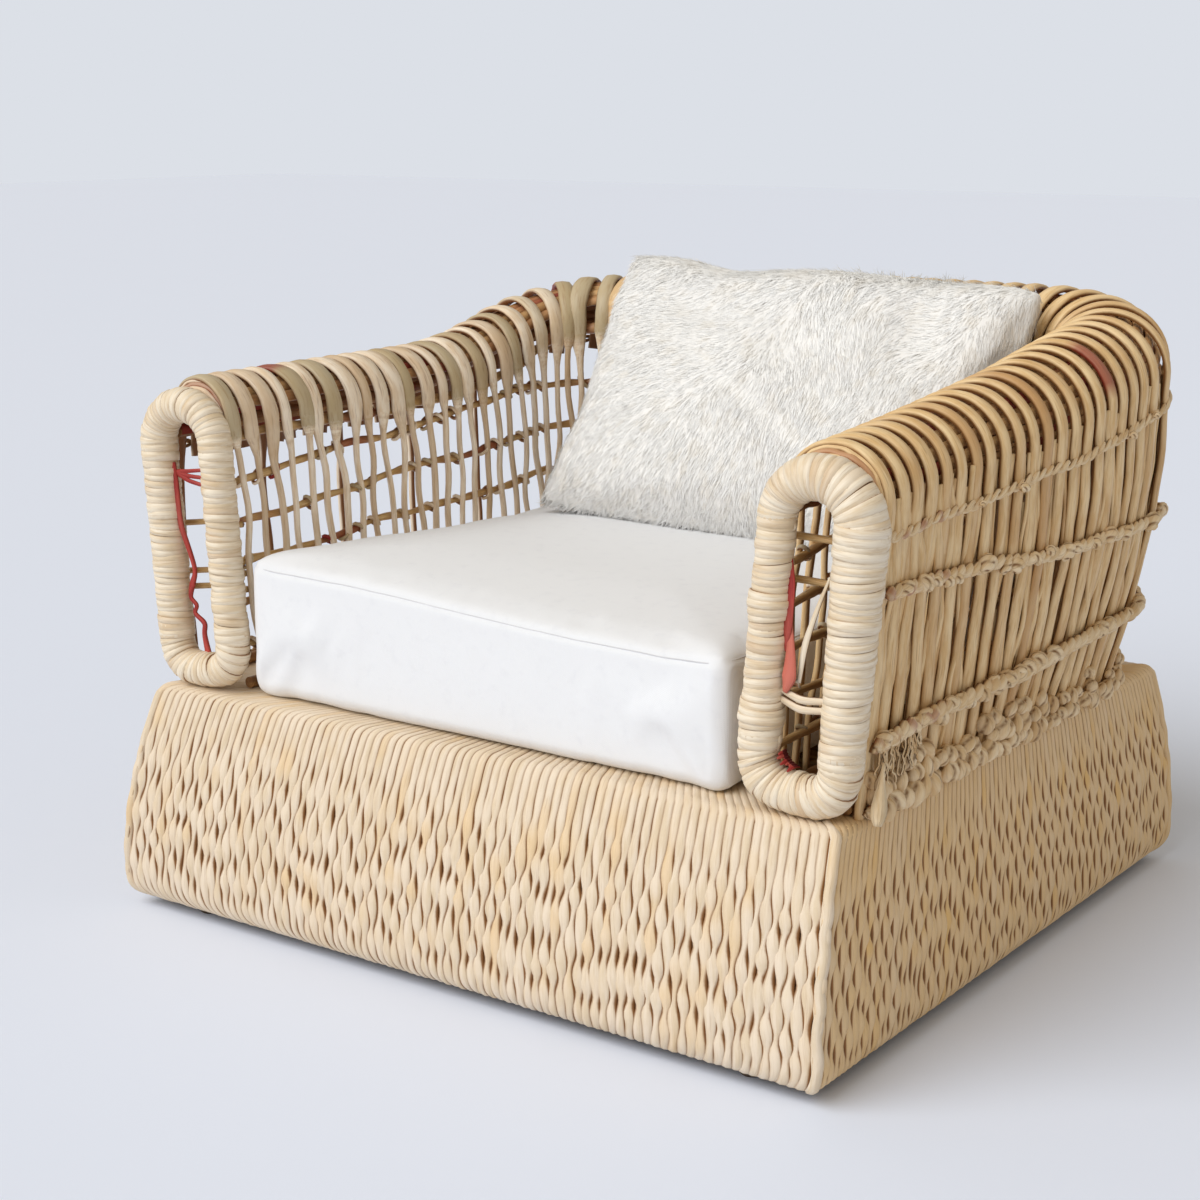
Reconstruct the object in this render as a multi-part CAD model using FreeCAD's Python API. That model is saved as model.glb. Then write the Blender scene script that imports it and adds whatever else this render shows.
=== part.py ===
import FreeCAD, Part
import math
import os

# Rattan lounge chair. Millimetres, +Z up, front towards -Y, origin on the floor under the middle of the base.

# Base plinth
BASE_HEIGHT = 280.0
BASE_TOP_HALF_WIDTH = 490.0
BASE_TOP_HALF_DEPTH = 412.0
SIDE_FLARE = 16.0
END_FLARE = 58.0
SKIRT_THICKNESS = 14.0
SKIRT_LIP = 150.0
SKIRT_TOP_FILLET = 18.0
SKIRT_TUCK_RADIUS = 30.0
FLOOR_GAP = 8.0
POLE_RADIUS = 15.8
POLE_CLEARANCE = 0.2
POST_RADIUS = 14.0
TOP_RAIL_INSET = 27.0
STILE_RADIUS = 12.0
STILE_SPREAD = 160.0
GLIDE_RADIUS = 13.0
GLIDE_HEIGHT = 30.0
GLIDE_INSET = 15.0
GLIDE_SPREAD = 400.0
GLIDE_CHAMFER = 2.0

# Seat deck
SLAT_COUNT = 8
SLAT_WIDTH = 70.0
SLAT_THICKNESS = 14.0
SLAT_PITCH = 95.0
SLAT_OVERHANG = 13.0
SLAT_EDGE_RADIUS = 3.0
BEARER_WIDTH = 45.0
BEARER_HEIGHT = 32.0
SCREW_HEAD_RADIUS = 4.5
SCREW_SHANK_RADIUS = 2.2
SCREW_LENGTH = 34.0
SCREW_HEAD_DEPTH = 3.0

# Tub wall, measured to the middle of its thickness at the waist
LEAN = math.radians(4.0)
WAIST_HALF_WIDTH = 424.0
WAIST_REAR = 347.0
WAIST_CORNER_RADIUS = 110.0
ROLL_FRONT_HEIGHT = 605.0
ROLL_REAR_HEIGHT = 688.0
# Place from front to back and height at which each arm's roll starts to rise to the back
ROLL_MIDDLES = {"right": (10.0, 634.0), "left": (115.0, 608.0)}
ROLL_SWEEP_RADIUS = 700.0
RIB_RADIUS = 6.0
ROLL_RADIUS = 58.0
RIB_COUNT = 74
RIB_START_Y = -354.0
RIB_ARM_END = 21
RIB_CORNER_END = 26
RIB_FOOT_GAP = 0.7
OPEN_GROUPS = ("left_arm", "left_corner")
OPEN_LEG_STEP = 5
STRAP_TAIL = 45.0
STAKES_PER_GAP = 2
STAKE_RADIUS = 3.5
STAKE_TOP_DROP = 6.0
ROD_START_Y = -362.0
RAIL_RADIUS = 7.0
CREST_RADIUS = 8.0
TOP_RAIL_DROP = 12.0
ROLL_CANE_RADIUS = 5.0
ROLL_CANE_GAP = 4.5
ROLL_CANE_ANGLES = (30.0, 60.0, 120.0, 150.0)
SEAT_GAP = 0.5
CORNER_GAP = 1.0
LATTICE_COUNT = 5
LATTICE_RADIUS = 5.0
LATTICE_LOWEST = 335.0
LATTICE_PITCH = 50.5
LATTICE_RISE = 15.0
TWINE_RADIUS = 4.5
WAIST_TWINE_LIFT = 5.5
LOWER_TWINE_HEIGHTS = (362.0, 394.0)
UPPER_TWINE_HEIGHTS = (522.0, 500.0)
SHOULDER_TWINE_DROP = 30.0

# Arm-front loops
LOOP_FRONT_Y = -412.0
LOOP_TOP = 657.0
LOOP_BEND_RADIUS = 48.5
LOOP_CORE_RADIUS = 13.6
BINDING_RADIUS = 4.9
BINDING_SEAT = 0.1
LEG_TURNS = 21
CROWN_TURNS = 8
LEG_BINDING_MARGIN = 4.0
CROWN_BINDING_MARGIN = math.radians(8.0)

# Seat cushion
CUSHION_HALF_WIDTH = 348.5
CUSHION_FRONT = -396.0
CUSHION_REAR = 272.0
CUSHION_FRONT_CORNER = 26.0
CUSHION_REAR_CORNER = 70.0
CUSHION_SIDE_SAG = 5.0
CUSHION_REST_GAP = 0.4
CUSHION_SKIN = 2.5
# Height above the cushion's underside and inset of the outline, from the underside to the crown
CUSHION_LEVELS = ((0, 12), (6, 4), (20, 0), (75, 1), (130, 0), (144, 4), (150, 12), (157, 42), (162, 92),
                  (165, 150))
CUSHION_SEAM_LEVEL = 6
ZIP_HALF_WIDTH = 150.0
ZIP_HEIGHT = 10.0
ZIP_DEPTH = 6.0

# Back pillow
PILLOW_WIDTH = 612.0
PILLOW_HEIGHT = 366.0
PILLOW_THICKNESS = 150.0
PILLOW_CENTRE = (46.0, 197.0, 608.0)
PILLOW_LEAN = math.radians(31.5)
PILLOW_SKIN = 3.0
PILLOW_HEM = 16.0
# Place from the middle to one end, share of the height and share of the thickness there
PILLOW_HALF_STATIONS = ((0.0, 0.96, 1.0), (0.4, 0.97, 0.94), (0.75, 0.985, 0.70), (0.93, 0.98, 0.40),
                        (1.0, 0.93, 0.12))

Vector = FreeCAD.Vector
UP = Vector(0, 0, 1)
BACK = Vector(0, 1, 0)
LOOP_OUTER = LOOP_CORE_RADIUS + 2 * BINDING_RADIUS + BINDING_SEAT
DECK_TOP = BASE_HEIGHT - SKIRT_THICKNESS
SIDES = {"left": -1, "right": 1}


class RoundedPath:
    """Straight runs through points, with a tangent arc of its own radius at each inner point."""

    def __init__(self, points, radii):
        self.pieces = []
        start = points[0]
        for index, radius in enumerate(radii, start=1):
            corner = points[index]
            along = (corner - points[index - 1]).normalize()
            leaving = (points[index + 1] - corner).normalize()
            turn = along.getAngle(leaving)
            reach = radius * math.tan(turn / 2)
            towards = (leaving - along * along.dot(leaving)).normalize()
            arc_start = corner - along * reach
            self.add_line(start, arc_start)
            self.pieces.append(("arc", arc_start, along, towards, radius, turn))
            start = corner + leaving * reach
        self.add_line(start, points[-1])

    def add_line(self, start, end):
        run = end - start
        length = run.Length
        self.pieces.append(("line", start, run.normalize(), None, None, length))

    def lengths(self):
        return [p[5] if p[0] == "line" else p[4] * p[5] for p in self.pieces]

    def at(self, distance):
        """Point and unit tangent at a distance along the path."""
        for piece, length in zip(self.pieces, self.lengths()):
            kind, start, along, towards, radius, _ = piece
            if distance <= length or piece is self.pieces[-1]:
                break
            distance -= length
        if kind == "line":
            return start + along * distance, along
        angle = distance / radius
        centre = start + towards * radius
        point = centre - towards * (radius * math.cos(angle)) + along * (radius * math.sin(angle))
        return point, along * math.cos(angle) + towards * math.sin(angle)

    def wire(self):
        edges = []
        travelled = 0.0
        for piece, length in zip(self.pieces, self.lengths()):
            start = self.at(travelled)[0]
            end = self.at(travelled + length)[0]
            if piece[0] == "line":
                edges.append(Part.LineSegment(start, end).toShape())
            else:
                middle = self.at(travelled + length / 2)[0]
                edges.append(Part.Arc(start, middle, end).toShape())
            travelled += length
        return Part.Wire(edges)


def swept_tube(wire, start, direction, radius):
    """Round tube of one radius along a wire."""
    profile = Part.Wire([Part.Circle(start, direction, radius).toShape()])
    return wire.makePipeShell([profile], True, False)


def path_tube(path, radius):
    start, direction = path.at(0)
    return swept_tube(path.wire(), start, direction, radius)


def pole(start, end, radius):
    """Straight round pole between two points."""
    run = end - start
    return Part.makeCylinder(radius, run.Length, start, run)


def without(shape, cutters):
    """The shape coped to the pieces that it butts against."""
    for cutter in cutters:
        shape = shape.cut(cutter)
    return shape


def lean_out(height):
    """How far the wall has leaned outwards at a height above the floor."""
    return (height - BASE_HEIGHT) * math.tan(LEAN)


def tub_path(offset, front_height, rear_height, start_y, middles=None, left_arm=True):
    """Route round the tub, offset outwards from the wall's middle, from the right arm to the left arm or only
    to the left end of the back."""
    rear_y = WAIST_REAR + offset + lean_out(rear_height)
    corner_radius = WAIST_CORNER_RADIUS + offset + lean_out(rear_height)

    def arm_points(side):
        places = [(start_y, front_height), (rear_y, rear_height)]
        if middles:
            places.insert(1, middles[side])
        half_widths = [WAIST_HALF_WIDTH + offset + lean_out(height) for _, height in places]
        return [Vector(SIDES[side] * x, y, z) for x, (y, z) in zip(half_widths, places)]

    right = arm_points("right")
    radii = [ROLL_SWEEP_RADIUS, corner_radius] if middles else [corner_radius]
    if not left_arm:
        back_end = Vector(WAIST_CORNER_RADIUS - WAIST_HALF_WIDTH, rear_y, rear_height)
        return RoundedPath(right + [back_end], radii)
    return RoundedPath(right + arm_points("left")[::-1], radii + radii[::-1])


def roll_path(offset, rise, start_y, middle_sides=("right", "left")):
    """Route that keeps to the roll of the top, a rise above or below the roll's own axis.

    The two sides named are those whose height the right and the left arm of the route take.
    """
    middles = {}
    for arm, side in zip(("right", "left"), middle_sides):
        y, height = ROLL_MIDDLES[side]
        middles[arm] = (y, height + rise)
    return tub_path(offset, ROLL_FRONT_HEIGHT + rise, ROLL_REAR_HEIGHT + rise, start_y, middles)


def level_offset(radius, gap):
    """Offset from the wall's middle at which a rod of this radius lies against the ribs from within."""
    return (ROLL_RADIUS - RIB_RADIUS - radius - gap) / math.cos(LEAN)


def roll_crossing(roll, waist_point, along):
    """Where the roll's axis crosses the upright plane of one rib."""
    low, high = 0.0, sum(roll.lengths())
    for _ in range(60):
        middle = (low + high) / 2
        if (roll.at(middle)[0] - waist_point).dot(along) < 0:
            low = middle
        else:
            high = middle
    return roll.at(low)[0]


def wall_station(waist, rolls, distance):
    """Roll centre, downward and outward directions of the wall at a distance round the tub.

    A station of the left arm is worked out on the right, with the left arm's roll, and mirrored.
    """
    foot, along = waist.at(distance)
    outward = along.cross(UP)
    half = sum(waist.lengths()) / 2
    mirrored = distance > half
    if mirrored:
        foot, along = waist.at(2 * half - distance)
        outward = along.cross(UP)
    centre = roll_crossing(rolls["left" if mirrored else "right"], foot, along)
    down = foot - centre
    down = (down - along * down.dot(along)).normalize()
    across = (outward - down * outward.dot(down)).normalize()
    if mirrored:
        centre, down, across = [Vector(-v.x, v.y, v.z) for v in (centre, down, across)]
    return centre, down, across


def drop_to_height(start, down, height):
    """Point straight down the leaning wall at a height above the floor."""
    return start + down * ((height - start.z) / down.z)


def bent_rib(centre, down, across, tail=None):
    """One cane bent up the inside and over the roll, then down to the outside foot or to a short tail."""
    foot_height = BASE_HEIGHT + RIB_FOOT_GAP
    inner_top = centre - across * ROLL_RADIUS
    outer_top = centre + across * ROLL_RADIUS
    inner_foot = drop_to_height(inner_top, down, foot_height)
    outer_end = outer_top + down * tail if tail else drop_to_height(outer_top, down, foot_height)
    wire = Part.Wire([
        Part.LineSegment(inner_foot, inner_top).toShape(),
        Part.Arc(inner_top, centre - down * ROLL_RADIUS, outer_top).toShape(),
        Part.LineSegment(outer_top, outer_end).toShape(),
    ])
    return swept_tube(wire, inner_foot, down * -1, RIB_RADIUS)


def outer_stake(centre, down, across):
    """One thin straight stake of the outside wall."""
    offset = level_offset(RAIL_RADIUS, CORNER_GAP) * math.cos(LEAN)
    offset += RAIL_RADIUS + STAKE_RADIUS + CORNER_GAP
    top = centre + across * offset + down * STAKE_TOP_DROP
    foot = drop_to_height(top, down, BASE_HEIGHT + RIB_FOOT_GAP)
    return pole(foot, top, STAKE_RADIUS)


def tub_wall():
    """Ribs and outer stakes in their groups round the tub."""
    waist = tub_path(0, BASE_HEIGHT, BASE_HEIGHT, RIB_START_Y)
    rolls = {side: roll_path(0, 0, ROD_START_Y, (side, side)) for side in SIDES}
    pitch = sum(waist.lengths()) / (RIB_COUNT - 1)
    groups = {}

    def group_name(place):
        side = "right" if place < (RIB_COUNT - 1) / 2 else "left"
        from_front = min(place, RIB_COUNT - 1 - place)
        if from_front < RIB_ARM_END:
            return f"{side}_arm"
        return f"{side}_corner" if from_front < RIB_CORNER_END else "back"

    for index in range(RIB_COUNT):
        group = group_name(index)
        shortened = group in OPEN_GROUPS and (RIB_COUNT - 1 - index) % OPEN_LEG_STEP
        rib = bent_rib(*wall_station(waist, rolls, index * pitch), tail=STRAP_TAIL if shortened else None)
        groups.setdefault(group + "_ribs", []).append(rib)
    stake_steps = STAKES_PER_GAP + 1
    for step in range((RIB_COUNT - 1) * stake_steps):
        group = group_name(step / stake_steps)
        if step % stake_steps and group not in OPEN_GROUPS:
            stake = outer_stake(*wall_station(waist, rolls, step * pitch / stake_steps))
            groups.setdefault(group.replace("corner", "arm") + "_outer_stakes", []).append(stake)
    return {name: Part.makeCompound(solids) for name, solids in groups.items()}


def roll_cane(angle):
    """Cane along the roll, under the ribs, at an angle in degrees over the roll from its outer side."""
    reach = ROLL_RADIUS - RIB_RADIUS - ROLL_CANE_RADIUS - ROLL_CANE_GAP
    turned = math.radians(angle) - LEAN
    rise = reach * math.sin(turned)
    offset = reach * math.cos(turned) - rise * math.tan(LEAN)
    return path_tube(roll_path(offset, rise, ROD_START_Y), ROLL_CANE_RADIUS)


def tub_rails():
    """Rails, canes, lattice rods and twined rows that run round the tub."""
    inner = -level_offset(RAIL_RADIUS, CORNER_GAP)
    foot_height = BASE_HEIGHT + RAIL_RADIUS + POLE_CLEARANCE
    crest_rise = ROLL_RADIUS - RIB_RADIUS - CREST_RADIUS - CORNER_GAP
    twine_offset = (ROLL_RADIUS + RIB_RADIUS + TWINE_RADIUS + CORNER_GAP) / math.cos(LEAN)
    twine_foot = BASE_HEIGHT + TWINE_RADIUS + WAIST_TWINE_LIFT
    rails = {
        "crest_rail": path_tube(roll_path(0, crest_rise, ROD_START_Y), CREST_RADIUS),
        "inner_top_rail": path_tube(roll_path(inner, -TOP_RAIL_DROP, ROD_START_Y), RAIL_RADIUS),
        "outer_top_rail": path_tube(roll_path(-inner, -TOP_RAIL_DROP, ROD_START_Y), RAIL_RADIUS),
        "inner_foot_rail": path_tube(tub_path(inner, foot_height, foot_height, ROD_START_Y), RAIL_RADIUS),
        "outer_foot_rail": path_tube(tub_path(-inner, foot_height, foot_height, ROD_START_Y), RAIL_RADIUS),
        "waist_twine": path_tube(tub_path(twine_offset, twine_foot, twine_foot, RIB_START_Y), TWINE_RADIUS),
        "shoulder_twine": path_tube(roll_path(twine_offset, -SHOULDER_TWINE_DROP, RIB_START_Y), TWINE_RADIUS),
        "roll_canes": Part.makeCompound([roll_cane(angle) for angle in ROLL_CANE_ANGLES]),
    }
    for name, heights in (("lower_twine", LOWER_TWINE_HEIGHTS), ("upper_twine", UPPER_TWINE_HEIGHTS)):
        route = tub_path(twine_offset, *heights, RIB_START_Y, left_arm=False)
        rails[name] = path_tube(route, TWINE_RADIUS)
    lattice_offset = -level_offset(LATTICE_RADIUS, SEAT_GAP)
    for index in range(LATTICE_COUNT):
        front = LATTICE_LOWEST + index * LATTICE_PITCH
        rear = front + index * LATTICE_RISE
        route = tub_path(lattice_offset, front, rear, ROD_START_Y)
        rails[f"lattice_rod_{index + 1}"] = path_tube(route, LATTICE_RADIUS)
    return rails


def arc_edge(start, corner, end):
    """Arc from start to end whose end tangents meet at the corner."""
    middle = (start + end) * 0.5
    half = (end - start).Length / 2
    rise = corner - middle
    sagitta = half * math.tan(math.atan2(rise.Length, half) / 2)
    return Part.Arc(start, middle + rise.normalize() * sagitta, end).toShape()


def biarc_edges(start, start_tangent, end, end_tangent):
    """Two tangent arcs that join a pair of points and directions."""
    chord = end - start
    both = start_tangent + end_tangent
    square = both.dot(both) - 4
    linear = -2 * chord.dot(both)
    reach = (-linear - math.sqrt(linear ** 2 - 4 * square * chord.dot(chord))) / (2 * square)
    first_corner = start + start_tangent * reach
    last_corner = end - end_tangent * reach
    joint = (first_corner + last_corner) * 0.5
    return [arc_edge(start, first_corner, joint), arc_edge(joint, last_corner, end)]


def wound_cane(name, core_at, turns):
    """One cane wound round a core; core_at gives the core's centre and two cross directions from 0 to 1."""
    orbit = LOOP_CORE_RADIUS + BINDING_RADIUS + BINDING_SEAT

    def point_at(share):
        centre, first, second = core_at(share)
        angle = 2 * math.pi * turns * share
        return centre + first * (orbit * math.cos(angle)) + second * (orbit * math.sin(angle))

    def tangent_at(share):
        step = 1e-4 / turns
        return (point_at(share + step) - point_at(share - step)).normalize()

    quarter_turns = 4 * turns
    shares = [i / quarter_turns for i in range(quarter_turns + 1)]
    start = point_at(0) - tangent_at(0) * (2 * BINDING_RADIUS)
    end = point_at(1) + tangent_at(1) * (2 * BINDING_RADIUS)
    edges = [Part.LineSegment(start, point_at(0)).toShape()]
    for here, there in zip(shares, shares[1:]):
        edges += biarc_edges(point_at(here), tangent_at(here), point_at(there), tangent_at(there))
    edges.append(Part.LineSegment(point_at(1), end).toShape())
    samples_per_turn = 48
    points = [point_at(i / (samples_per_turn * turns)) for i in range(samples_per_turn * turns + 1)]
    half_turn = samples_per_turn // 2
    gap = min((a - b).Length for i, a in enumerate(points)
              for b in points[i + half_turn:i + 3 * half_turn]) - 2 * BINDING_RADIUS
    print(f"{name}: {turns} turns, least gap to itself {gap:.2f} mm")
    return swept_tube(Part.Wire(edges), start, tangent_at(0), BINDING_RADIUS)


def arm_loop(side, sign):
    """Hairpin loop of one arm front, with the cane bound round its legs, crown and foot."""
    out = Vector(sign * math.cos(LEAN), 0, -math.sin(LEAN))
    up = Vector(sign * math.sin(LEAN), 0, math.cos(LEAN))
    axis_y = LOOP_FRONT_Y + LOOP_OUTER
    reach = LOOP_BEND_RADIUS + LOOP_OUTER

    def wall_point(height):
        return Vector(sign * (WAIST_HALF_WIDTH + lean_out(height)), axis_y, height)

    low = wall_point(BASE_HEIGHT + reach + POLE_CLEARANCE)
    high = wall_point(LOOP_TOP - reach)
    leg_length = (high - low).Length

    def on_bend(centre, angle):
        radial = out * math.cos(angle) + up * math.sin(angle)
        return centre + radial * LOOP_BEND_RADIUS, radial

    right_low, right_high = on_bend(low, 0)[0], on_bend(high, 0)[0]
    left_low, left_high = on_bend(low, math.pi)[0], on_bend(high, math.pi)[0]
    hairpin = Part.Wire([
        Part.LineSegment(right_low, right_high).toShape(),
        Part.Arc(right_high, on_bend(high, math.pi / 2)[0], left_high).toShape(),
        Part.LineSegment(left_high, left_low).toShape(),
        Part.Arc(left_low, on_bend(low, -math.pi / 2)[0], right_low).toShape(),
    ])
    nodes = {f"{side}_loop_pole": swept_tube(hairpin, right_low, up, LOOP_CORE_RADIUS)}

    def leg_core(foot):
        bound = leg_length - 2 * LEG_BINDING_MARGIN
        return lambda share: (foot + up * (LEG_BINDING_MARGIN + bound * share), out, BACK)

    def bend_core(centre, first_angle):
        swept = math.pi - 2 * CROWN_BINDING_MARGIN

        def core(share):
            point, radial = on_bend(centre, first_angle + CROWN_BINDING_MARGIN + swept * share)
            return point, radial, BACK
        return core

    cores = {
        "outer_leg": (leg_core(right_low), LEG_TURNS),
        "inner_leg": (leg_core(left_low), LEG_TURNS),
        "crown": (bend_core(high, 0), CROWN_TURNS),
        "foot": (bend_core(low, math.pi), CROWN_TURNS),
    }
    for place, (core, turns) in cores.items():
        name = f"{side}_{place}_binding"
        nodes[name] = wound_cane(name, core, turns)
    return nodes


def skirt_profile(flare):
    """Section of one skirt: outwards from the top edge of the base along X, upwards along Z."""
    widest_z = FLOOR_GAP + SKIRT_TUCK_RADIUS
    drop = BASE_HEIGHT - widest_z
    sweep = (flare ** 2 + drop ** 2) / (2 * flare)
    sweep_x = flare - sweep
    tuck_x = flare - SKIRT_TUCK_RADIUS
    inner_sweep = sweep - SKIRT_THICKNESS
    inner_tuck = SKIRT_TUCK_RADIUS - SKIRT_THICKNESS

    def on_arc(centre_x, radius, height):
        return Vector(centre_x + math.sqrt(radius ** 2 - (height - widest_z) ** 2), 0, height)

    def tuck_middle(radius):
        return Vector(tuck_x + radius * math.cos(math.pi / 4), 0, widest_z - radius * math.sin(math.pi / 4))

    top = Vector(0, 0, BASE_HEIGHT)
    inner_top = on_arc(sweep_x, inner_sweep, DECK_TOP)
    outer_side = on_arc(sweep_x, sweep, widest_z)
    inner_side = on_arc(sweep_x, inner_sweep, widest_z)
    outer_tuck_end = Vector(tuck_x, 0, FLOOR_GAP)
    inner_tuck_end = Vector(tuck_x, 0, FLOOR_GAP + SKIRT_THICKNESS)
    lip_top = Vector(-SKIRT_LIP, 0, BASE_HEIGHT)
    lip_bottom = Vector(-SKIRT_LIP, 0, DECK_TOP)
    half_way = widest_z + drop / 2
    return Part.Wire([
        Part.LineSegment(lip_top, top).toShape(),
        Part.Arc(top, on_arc(sweep_x, sweep, half_way), outer_side).toShape(),
        Part.Arc(outer_side, tuck_middle(SKIRT_TUCK_RADIUS), outer_tuck_end).toShape(),
        Part.LineSegment(outer_tuck_end, inner_tuck_end).toShape(),
        Part.Arc(inner_tuck_end, tuck_middle(inner_tuck), inner_side).toShape(),
        Part.Arc(inner_side, on_arc(sweep_x, inner_sweep, half_way), inner_top).toShape(),
        Part.LineSegment(inner_top, lip_bottom).toShape(),
        Part.LineSegment(lip_bottom, lip_top).toShape(),
    ])


def skirt(half_length, distance, flare, neighbour_flare, quarter_turn):
    """One woven side of the base, mitred to its neighbours, facing +X before it is turned."""
    reach = half_length + neighbour_flare
    section = Part.Face(skirt_profile(flare))
    section.translate(Vector(distance, -reach, 0))
    board = section.extrude(BACK * (2 * reach))
    top_edges = [e for e in board.Edges if e.Length > reach
                 and abs(e.Vertexes[0].X - distance) < 1e-6 and abs(e.Vertexes[0].Z - BASE_HEIGHT) < 1e-6]
    board = board.makeFillet(SKIRT_TOP_FILLET, top_edges)
    widest_z = FLOOR_GAP + SKIRT_TUCK_RADIUS
    foot_x, foot_y = distance + flare, half_length + neighbour_flare
    past_lip = SKIRT_LIP + SKIRT_THICKNESS

    def mitre_block(corners, bottom, top):
        plan = [Vector(x, y, bottom) for x, y in corners]
        plan += [Vector(x, -y, bottom) for x, y in reversed(corners)]
        return Part.Face(Part.makePolygon(plan + plan[:1])).extrude(UP * (top - bottom))

    tuck_corners = [(foot_x + past_lip, foot_y + past_lip), (foot_x - past_lip, foot_y - past_lip)]
    wall_corners = [(foot_x + flare, foot_y + neighbour_flare), (distance, half_length),
                    (distance - past_lip, half_length - past_lip)]
    tuck_mitre = mitre_block(tuck_corners, 0, widest_z)
    wall_mitre = mitre_block(wall_corners, widest_z, BASE_HEIGHT + FLOOR_GAP)
    board = board.common(tuck_mitre.fuse(wall_mitre)).removeSplitter()
    board.rotate(Vector(0, 0, 0), UP, 90 * quarter_turn)
    return board.Solids[0]


def base_skirts():
    width, depth = BASE_TOP_HALF_WIDTH, BASE_TOP_HALF_DEPTH
    return {
        "right_skirt": skirt(depth, width, SIDE_FLARE, END_FLARE, 0),
        "rear_skirt": skirt(width, depth, END_FLARE, SIDE_FLARE, 1),
        "left_skirt": skirt(depth, width, SIDE_FLARE, END_FLARE, 2),
        "front_skirt": skirt(width, depth, END_FLARE, SIDE_FLARE, 3),
    }


def rail_ring(prefix, half_width, half_depth, height):
    """Four poles on a rectangle, the side poles butted against the front and rear ones."""
    nodes = {}
    for name, y in (("front", -half_depth), ("rear", half_depth)):
        nodes[f"{name}_{prefix}_rail"] = pole(Vector(-half_width, y, height), Vector(half_width, y, height),
                                              POLE_RADIUS)
    end = half_depth - POLE_RADIUS - POLE_CLEARANCE
    for name, sign in SIDES.items():
        x = sign * half_width
        nodes[f"{name}_{prefix}_rail"] = pole(Vector(x, -end, height), Vector(x, end, height), POLE_RADIUS)
    return nodes


def base_frame():
    """Rattan pole frame of the base: two rings of rails, corner posts, stiles and glides."""
    low_z = FLOOR_GAP + SKIRT_TUCK_RADIUS
    high_z = DECK_TOP - SLAT_THICKNESS - POLE_RADIUS
    low_w = BASE_TOP_HALF_WIDTH + SIDE_FLARE - SKIRT_TUCK_RADIUS
    low_d = BASE_TOP_HALF_DEPTH + END_FLARE - SKIRT_TUCK_RADIUS
    high_w, high_d = BASE_TOP_HALF_WIDTH - TOP_RAIL_INSET, BASE_TOP_HALF_DEPTH - TOP_RAIL_INSET
    nodes = rail_ring("bottom", low_w, low_d, low_z)
    nodes.update(rail_ring("top", high_w, high_d, high_z))
    rails = list(nodes.values())
    post_in = POLE_RADIUS + POLE_CLEARANCE
    for end_name, y_sign in (("front", -1), ("rear", 1)):
        for name, sign in SIDES.items():
            foot = Vector(sign * (low_w - post_in), y_sign * low_d, low_z)
            head = Vector(sign * (high_w - post_in), y_sign * high_d, high_z)
            nodes[f"{end_name}_{name}_post"] = without(pole(foot, head, POST_RADIUS), rails)
    stile_ends = []
    for y_sign in (-1, 1):
        for x in (-STILE_SPREAD, STILE_SPREAD):
            stile_ends.append((Vector(x, y_sign * low_d, low_z), Vector(x, y_sign * high_d, high_z)))
    for sign in SIDES.values():
        stile_ends.append((Vector(sign * low_w, 0, low_z), Vector(sign * high_w, 0, high_z)))
    stiles = Part.makeCompound([pole(low, high, STILE_RADIUS) for low, high in stile_ends])
    nodes["base_stiles"] = without(stiles, rails)
    feet = []
    for y_sign in (-1, 1):
        for x in (-GLIDE_SPREAD, GLIDE_SPREAD):
            place = Vector(x, y_sign * (low_d - GLIDE_INSET), 0)
            foot = Part.makeCylinder(GLIDE_RADIUS, GLIDE_HEIGHT, place)
            feet.append(foot.makeChamfer(GLIDE_CHAMFER, [e for e in foot.Edges if e.BoundBox.ZMax < 1e-6]))
    nodes["floor_glides"] = without(Part.makeCompound(feet), rails)
    return nodes


def deck_screw(x, y):
    """Countersunk screw, its head flush with the slat."""
    head = Part.makeCone(SCREW_SHANK_RADIUS, SCREW_HEAD_RADIUS, SCREW_HEAD_DEPTH,
                         Vector(x, y, DECK_TOP - SCREW_HEAD_DEPTH))
    shank = Part.makeCylinder(SCREW_SHANK_RADIUS, SCREW_LENGTH - SCREW_HEAD_DEPTH,
                              Vector(x, y, DECK_TOP - SCREW_LENGTH))
    return head.fuse(shank).removeSplitter().Solids[0]


def seat_deck(frame):
    """Slats across the side rails, a bearer under their middle, and the screws at the slat ends."""
    rail_x = BASE_TOP_HALF_WIDTH - TOP_RAIL_INSET
    underside = DECK_TOP - SLAT_THICKNESS
    half_length = rail_x + SLAT_OVERHANG
    first = -SLAT_PITCH * (SLAT_COUNT - 1) / 2
    slats, screws = [], []
    for index in range(SLAT_COUNT):
        y = first + index * SLAT_PITCH
        slat = Part.makeBox(2 * half_length, SLAT_WIDTH, SLAT_THICKNESS,
                            Vector(-half_length, y - SLAT_WIDTH / 2, underside))
        slat = slat.makeFillet(SLAT_EDGE_RADIUS, [e for e in slat.Edges if e.Length > half_length])
        pair = [deck_screw(sign * rail_x, y) for sign in SIDES.values()]
        slats.append(without(slat, pair).Solids[0])
        screws += pair
    for side in SIDES:
        frame[f"{side}_top_rail"] = without(frame[f"{side}_top_rail"], screws).Solids[0]
    rail_y = BASE_TOP_HALF_DEPTH - TOP_RAIL_INSET
    bearer = Part.makeBox(BEARER_WIDTH, 2 * rail_y, BEARER_HEIGHT,
                          Vector(-BEARER_WIDTH / 2, -rail_y, underside - BEARER_HEIGHT))
    return {
        "deck_slats": Part.makeCompound(slats),
        "deck_screws": Part.makeCompound(screws),
        "deck_bearer": without(bearer, [frame["front_top_rail"], frame["rear_top_rail"]]).Solids[0],
    }


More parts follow.
